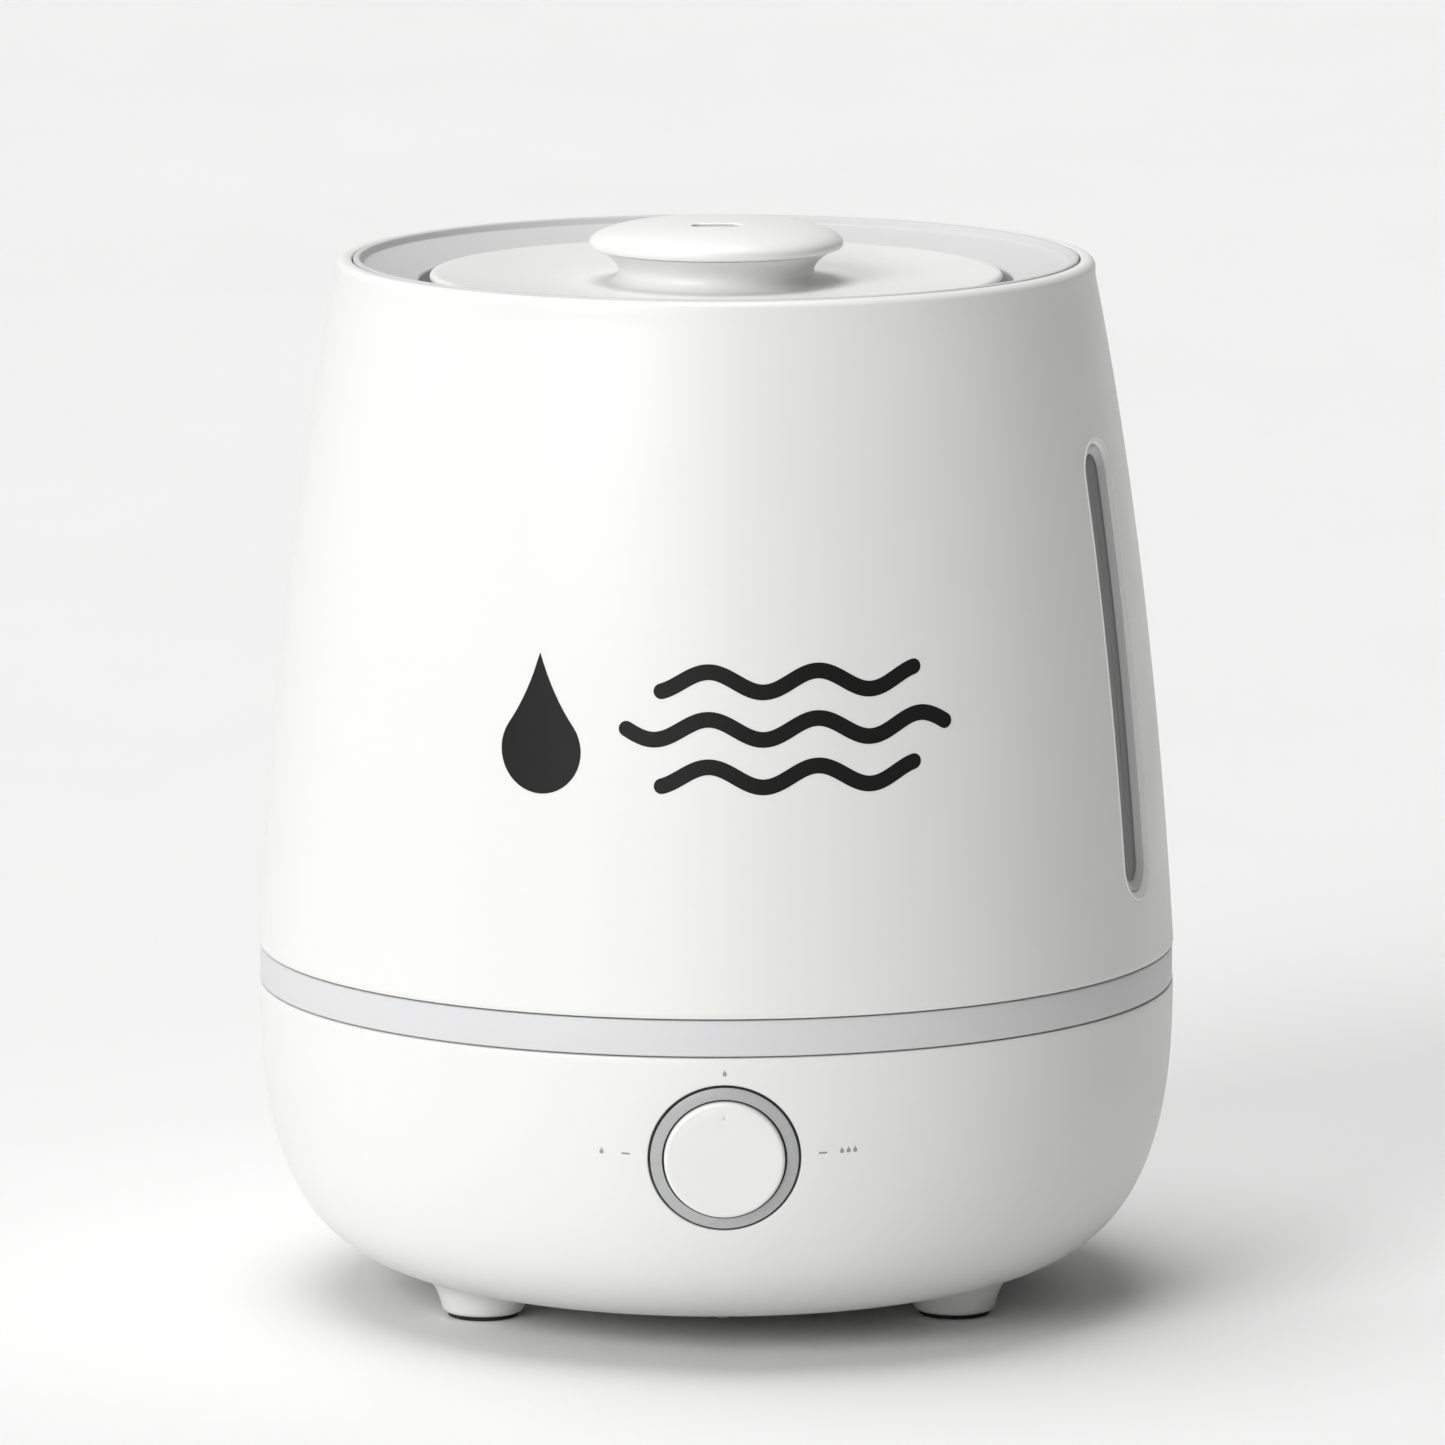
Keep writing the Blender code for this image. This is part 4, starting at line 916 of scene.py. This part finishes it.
def make_tank_liner():
    corners = [
        (70.0, 259.5, 0.3), (79.3, 259.5, 0.3), (79.3, 266.6, 0.6), (92.0, 270.3, 0),
        (95.0, 270.3, 0.2), (95.0, 274.95, 0.5), (93.4, 274.95, 0.8), (92.4, 273.1, 0.9),
        (77.9, 269.0, 0.9), (77.3, 261.5, 0.3), (70.0, 261.5, 0.5)]
    # The tray's darker grey is painted shade for the recess inside the rim, over its light grey
    # plastic.
    turned("tank_liner_tray", softened(corners, 5), "tank", tray_grey_painted_shade, ["tank_liner"],
           COLUMNS)


def make_tank_inside():
    corners = [(19.35, 96.5, 0.2), (117.4, 96.5, 0.4), (117.4, 99.5, 0.4), (19.35, 99.5, 0.2)]
    plate = turned("tank_floor_plate", softened(corners), "tank", milky, ["tank_floor"])
    hole = Skin()
    hole.rod(13.9, 90, 105, SMALL_SIDES, place(VALVE.x, VALVE.y))
    carve(plate, hole, "DIFFERENCE")
    corners = [
        (17.0, 86.0, 0.3), (19.0, 86.0, 0.4), (19.0, 99.8, 0), (24.0, 99.8, 0.3),
        (24.0, 101.8, 0.5), (19.0, 101.8, 1.0), (19.0, 262.0, 0.6), (17.0, 262.0, 0.6)]
    turned("mist_tube_moulding", softened(corners), "tank", milky, ["mist_tube"],
           96)


def make_valve():
    here = place(VALVE.x, VALVE.y)
    corners = [
        (11.0, 93.0, 0.3), (16.5, 93.0, 0.8), (16.5, 96.2, 0.5), (13.5, 96.2, 0),
        (13.5, 103.0, 0.5), (6.5, 103.0, 0.4), (6.5, 101.0, 0.2), (11.0, 101.0, 0)]
    body = turned("valve_body_moulding", softened(corners), "tank", milky, ["valve_body"],
                  SMALL_SIDES, here)
    bars = Skin()
    bars.box((-12, -2, 93.2), (12, 2, 95), here)
    carve(body, bars, "UNION")
    boss = Skin()
    boss.rod(5.5, 93.1, 95.2, 40, here)
    carve(body, boss, "UNION")
    bore = Skin()
    bore.rod(3.0, 90, 98, 40, here)
    carve(body, bore, "DIFFERENCE")
    stem = [
        (0, 84.0, 0), (2.6, 84.0, 0.8), (2.6, 86.0, 0), (5.6, 86.0, 0.4), (5.6, 87.5, 0.4),
        (2.6, 87.5, 0), (2.6, 109.3, 0), (9.5, 109.3, 0.4), (9.5, 111.0, 0.6), (0, 111.0, 0)]
    turned("valve_plunger_stem", softened(stem), "valve", milky, ["valve_plunger"],
           SMALL_SIDES, here)
    seal = [(2.9, 107.4, 0.2), (9.5, 107.4, 0.5), (9.5, 109.0, 0.3), (2.9, 109.0, 0.2)]
    turned("valve_seal_ring", softened(seal), "valve", silicone, ["valve_seal"],
           SMALL_SIDES, here)


# ---------------------------------------------------------------- lid and nozzle

def make_lid():
    """Lid disc, dished towards a waisted neck, and the skirt ring under it."""
    neck = arc((29.1, 271.7), 3.4, 258, 180, 9)
    neck += [(25.85, 272.4), (26.4, 273.3), (27.3, 274.3), (28.4, 275.2), (29.7, 276.1)]
    outline = [(22.0, 266.0), (35.0, 266.0), (67.5, 268.1), (69.4, 268.4)]
    edge = arc((LID_RADIUS - 1.15, 269.75), 1.15, -90, 78, 9)
    disc_top = 270.85
    dish = 2.55
    dish_end = 36.0
    dish_start = LID_RADIUS - 1.0
    top = []
    for t in steps(0.0, 1.0, 24)[1:]:
        r = dish_start + (dish_end - dish_start) * t
        top.append((r, disc_top - dish * sin(t * pi / 2)))
    outline += edge + top + [(31.0, 268.25)] + neck
    outline += [
        (31.0, 276.75), (30.8, 276.9), (28.9, 276.9), (28.5, 276.7), (23.3, 272.0),
        (22.0, 269.5)]
    turned("lid_moulding", outline, "lid", white, ["lid"], COLUMNS)
    ring = [(67.5, 257.0, 0.5), (69.4, 257.0, 0.7), (69.4, 267.8, 0.3), (67.5, 267.8, 0.3)]
    turned("lid_skirt_ring", softened(ring), "lid", white, ["lid_skirt"], COLUMNS)


def make_lid_trim():
    """The seal round the skirt, and the splash guard inside the mist collar."""
    seal = [
        (70.4, 261.8, 0.5), (74.5, 261.8, 0.6), (74.5, 263.5, 0.5), (71.2, 266.8, 0.3),
        (70.4, 266.8, 0.2)]
    turned("lid_seal_ring", softened(seal), "lid", silicone, ["lid_seal"])
    rim = [(19.6, 252.0, 0.5), (21.6, 252.0, 0.8), (21.6, 271.8, 0.5), (19.6, 271.8, 0.5)]
    guard = turned("splash_guard_moulding", softened(rim), "lid", milky, ["splash_guard"],
                   96)
    for angle in (0, 120, 240):
        arm = Skin()
        arm.box((4, -1.2, 270.4), (20.6, 1.2, 271.6), Matrix.Rotation(radians(angle), 4, "Z"))
        carve(guard, arm, "UNION")
    plate = [(0, 270.25, 0), (10.0, 270.25, 0.5), (10.0, 271.75, 0.5), (0, 271.75, 0)]
    disc = Skin()
    disc.turn(softened(plate), SMALL_SIDES)
    carve(guard, disc, "UNION")


def make_nozzle_cap():
    """The dome turns about the neck; its mist slit lies forward of the middle."""
    rise = 6.4
    equator = CAP_TOP - rise
    power = 2 / 2.25

    def dome(radius):
        side = min(radius / CAP_RADIUS, 1.0) ** (2 / power)
        return equator + rise * (1 - side) ** (power / 2)

    def lift(start, out, inset):
        radius = hypot(start.x, start.y)
        level = dome(radius) if inset == 0 else min(CAP_TOP - 2.1, dome(radius) - 1.6)
        return Vector((start.x, start.y, level))

    skin = Skin()
    outer = []
    for angle in steps(radians(46), 0, 30):
        outer.append((CAP_RADIUS * cos(angle) ** power, equator + rise * sin(angle) ** power))
    lip = arc((CAP_RADIUS - 1.15, equator - 0.05), 1.15, -8, -88, 9)
    lip += [(31.3, 277.25), (31.0, 277.45)]
    inside = [
        (26.6, 278.0), (26.4, 277.8), (26.4, 275.4), (26.2, 275.2), (25.0, 275.2),
        (24.8, 275.4), (24.8, 280.2), (24.4, 280.7)]
    rings = [skin.ring(r, z, RING_SIDES) for r, z in outer + lip + inside]
    skin.stack(rings)
    slit = Opening((0, -11.3, 0), ACROSS, (0, 0, 1), 4.2, 2.3, lift)
    top_edge = cut_opening(skin, rings[0], slit, lip=0.45, depth=0.3, rows=9)
    under_edge = cut_opening(skin, rings[-1], slit, inset=1.0, rows=6)
    join_edges(skin, slit, top_edge, under_edge)
    show("nozzle_cap_dome", skin, "nozzle", cap_white, ["nozzle_cap"])


# ---------------------------------------------------------------- printed marks

def printed(name, shapes, body, material, drop, thickness=0.06):
    """Thin pads of ink that follow a skin; each shape is a closed outline in its plane."""
    skin = Skin()
    for shape in shapes:
        work = bmesh.new()
        spots = [work.verts.new((x, y, 0)) for x, y in shape]
        work.faces.new(spots)
        bmesh.ops.triangulate(work, faces=work.faces)
        for _ in range(2):
            long_edges = [e for e in work.edges if e.calc_length() > 3.0]
            if long_edges:
                bmesh.ops.subdivide_edges(work, edges=long_edges, cuts=1)
                bmesh.ops.triangulate(work, faces=work.faces)
        work.verts.index_update()
        upper = [skin.add(drop(v.co.x, v.co.y, thickness)) for v in work.verts]
        lower = [skin.add(drop(v.co.x, v.co.y, -0.02)) for v in work.verts]
        for face in work.faces:
            skin.faces.append(tuple(upper[v.index] for v in face.verts))
            skin.faces.append(tuple(lower[v.index] for v in reversed(face.verts)))
        for edge in work.edges:
            if len(edge.link_faces) == 1:
                a, b = (v.index for v in edge.verts)
                skin.faces.append((upper[a], upper[b], lower[b], lower[a]))
        work.free()
    show(name, skin, body, material, ())


def stroke(points, width, count=8):
    """A closed outline round an open line, with round ends."""
    left = []
    right = []
    last = len(points) - 1
    for i, (x, y) in enumerate(points):
        before = points[max(i - 1, 0)]
        after = points[min(i + 1, last)]
        run = Vector((after[0] - before[0], after[1] - before[1])).normalized()
        left.append((x - run.y * width / 2, y + run.x * width / 2))
        right.append((x + run.y * width / 2, y - run.x * width / 2))
    ends = []
    for spot, other in ((points[-1], points[-2]), (points[0], points[1])):
        run = Vector((spot[0] - other[0], spot[1] - other[1])).normalized()
        heading = atan2(run.y, run.x)
        cap = []
        for a in steps(heading + pi / 2, heading - pi / 2, count)[1:-1]:
            cap.append((spot[0] + width / 2 * cos(a), spot[1] + width / 2 * sin(a)))
        ends.append(cap)
    return left + ends[0] + right[::-1] + ends[1]


def droplet(centre, size):
    """A water drop: a circle drawn up to a point."""
    x, y = centre
    outline = []
    for a in steps(-215, 35, 30):
        outline.append((x + size * cos(radians(a)), y + size * sin(radians(a))))
    tip = (x, y + size * 2.25)
    rising = curve_to(outline[-1], tip, (x + size * 0.32, y + size * 1.25))
    falling = curve_to(tip, outline[0], (x - size * 0.32, y + size * 1.25))
    return outline + rising + falling[1:-1]


def curve_to(start, end, pull, count=8):
    points = []
    for t in steps(0.0, 1.0, count)[1:]:
        points.append(tuple(
            start[i] * (1 - t) ** 2 + pull[i] * 2 * t * (1 - t) + end[i] * t ** 2 for i in (0, 1)))
    return points


def make_marks():
    """A generic drop-and-mist sign on the tank, and plain ticks beside the dial."""
    centre_height = 167.5

    def on_tank(x, y, lift):
        height = centre_height + y
        radius = tank_radius(height) + lift
        angle = -pi / 2 + x / tank_radius(height)
        return (radius * cos(angle), radius * sin(angle), height)

    shapes = [droplet((-48.0, -6.5), 11.0)]
    waves_middle = 17.0
    pitch = 12.0
    swing = 2.6
    wavelength = 28.0
    for row, length in ((1, 66.0), (0, 84.0), (-1, 66.0)):
        line = []
        for x in steps(-length / 2, length / 2, 72):
            y = pitch * row + swing * sin(x / wavelength * 2 * pi)
            line.append((waves_middle + x, y))
        shapes.append(stroke(line, 4.0))
    printed("tank_sign", shapes, "tank", ink, on_tank)

    drop = onto_turned(bowl_radius)

    def on_bowl(x, y, lift):
        spot = drop(DIAL_CENTRE + ACROSS * x + DIAL_UP * y, DIAL_AXIS, 0.0)
        away = Vector((spot.x, spot.y, 0)).normalized()
        return spot + away * lift

    ticks = []
    for side in (-1, 1):
        ticks.append(stroke([(side * 24.3, 0.95), (side * 26.0, 0.95)], 0.5))
    for x, y in ((-31.3, 1.0), (30.0, 1.0), (31.7, 1.0), (33.4, 1.0), (0.0, 22.4)):
        ticks.append(droplet((x, y), 0.55))
    printed("dial_marks", ticks, "base", grey_ink, on_bowl, 0.04)


# ---------------------------------------------------------------- carried-over nodes

def dress_frame():
    looks = {
        "air_duct": milky, "driver_board": board, "control_board": board, "heat_sink": aluminium,
        "driver_coil": copper, "driver_capacitor": black, "fan_frame": black, "fan_rotor": black,
        "intake_filter": filter_foam, "lead_power": red, "lead_fan": black,
        "lead_transducer": lead_grey, "lead_dial": black, "potentiometer": black,
        "dial_shaft": steel, "transducer_disc": brass, "transducer_seal": silicone,
        "transducer_holder": steel, "valve_spring": steel}
    for name, thing in frame["nodes"].items():
        if "screw" in name:
            look = steel
        elif name in looks:
            look = looks[name]
        else:
            continue
        for slot in thing.material_slots:
            slot.material = look


# ---------------------------------------------------------------- stage

def make_stage():
    size = 30000
    skin = Skin()
    skin.faces.append(tuple(skin.loop(
        [(-size, -size, 0), (size, -size, 0), (size, size, 0), (-size, size, 0)])))
    floor = bpy.data.objects.new("floor", skin.mesh("floor"))
    floor.data.materials.append(floor_look("floor_look"))
    bpy.context.scene.collection.objects.link(floor)


def sun_light(name, azimuth, elevation, spread, strength):
    """A far, soft lamp; azimuth is measured from the front towards +X."""
    data = bpy.data.lights.new(name, "SUN")
    data.angle = radians(spread)
    data.energy = strength
    lamp = bpy.data.objects.new(name, data)
    level = cos(radians(elevation))
    towards = Vector((
        sin(radians(azimuth)) * level, -cos(radians(azimuth)) * level, sin(radians(elevation))))
    lamp.rotation_euler = (-towards).to_track_quat("-Z", "Y").to_euler()
    bpy.context.scene.collection.objects.link(lamp)


def make_world():
    """A studio that is bright behind and to the left, and dark to the front right."""
    world = bpy.data.worlds.new("studio")
    world.use_nodes = True
    bpy.context.scene.world = world
    tree = world.node_tree
    direction = tree.nodes.new("ShaderNodeTexCoord").outputs["Generated"]
    facing = tree.nodes.new("ShaderNodeVectorMath")
    facing.operation = "DOT_PRODUCT"
    facing.inputs[1].default_value = Vector((-0.62, 0.77, 0.1)).normalized()
    tree.links.new(direction, facing.inputs[0])
    blend = tree.nodes.new("ShaderNodeMapRange")
    blend.interpolation_type = "SMOOTHSTEP"
    blend.inputs["From Min"].default_value = -0.5
    blend.inputs["From Max"].default_value = 0.6
    blend.inputs["To Min"].default_value = 0.0
    blend.inputs["To Max"].default_value = 0.5
    tree.links.new(facing.outputs["Value"], blend.inputs["Value"])
    tree.links.new(blend.outputs["Result"], tree.nodes["Background"].inputs["Strength"])
    tree.nodes["Background"].inputs["Color"].default_value = (1.0, 1.0, 1.0, 1.0)


def make_lights():
    make_world()
    sun_light("key", -37, 25, 30, 1.84)
    sun_light("front", -12, 3, 24, 0.46)
    sun_light("top", -105, 83, 40, 1.98)


def make_camera():
    distance = 3000.0
    height = 630.0
    pitch = 9.069
    turn = -1.06
    slide = 1.67
    data = bpy.data.cameras.new("camera")
    data.sensor_width = 36.0
    data.lens = 287.123045
    data.clip_end = 100.0
    camera = bpy.data.objects.new("camera", data)
    angle = radians(turn)
    spot = Vector((slide, -distance, height))
    spot.rotate(Matrix.Rotation(angle, 3, "Z"))
    camera.location = spot * MM
    camera.rotation_euler = (radians(90 - pitch), 0, angle)
    bpy.context.scene.collection.objects.link(camera)
    bpy.context.scene.camera = camera
    bpy.context.scene.view_settings.view_transform = "Standard"


make_camera()
make_lights()
make_stage()
make_base_shell()
make_trim_ring()
make_bottom_cover()
make_feet()
make_basin()
make_float()
make_inlet()
make_dial()
make_tank_shell()
make_level_window()
make_tank_liner()
make_tank_inside()
make_valve()
make_lid()
make_lid_trim()
make_nozzle_cap()
make_marks()
dress_frame()
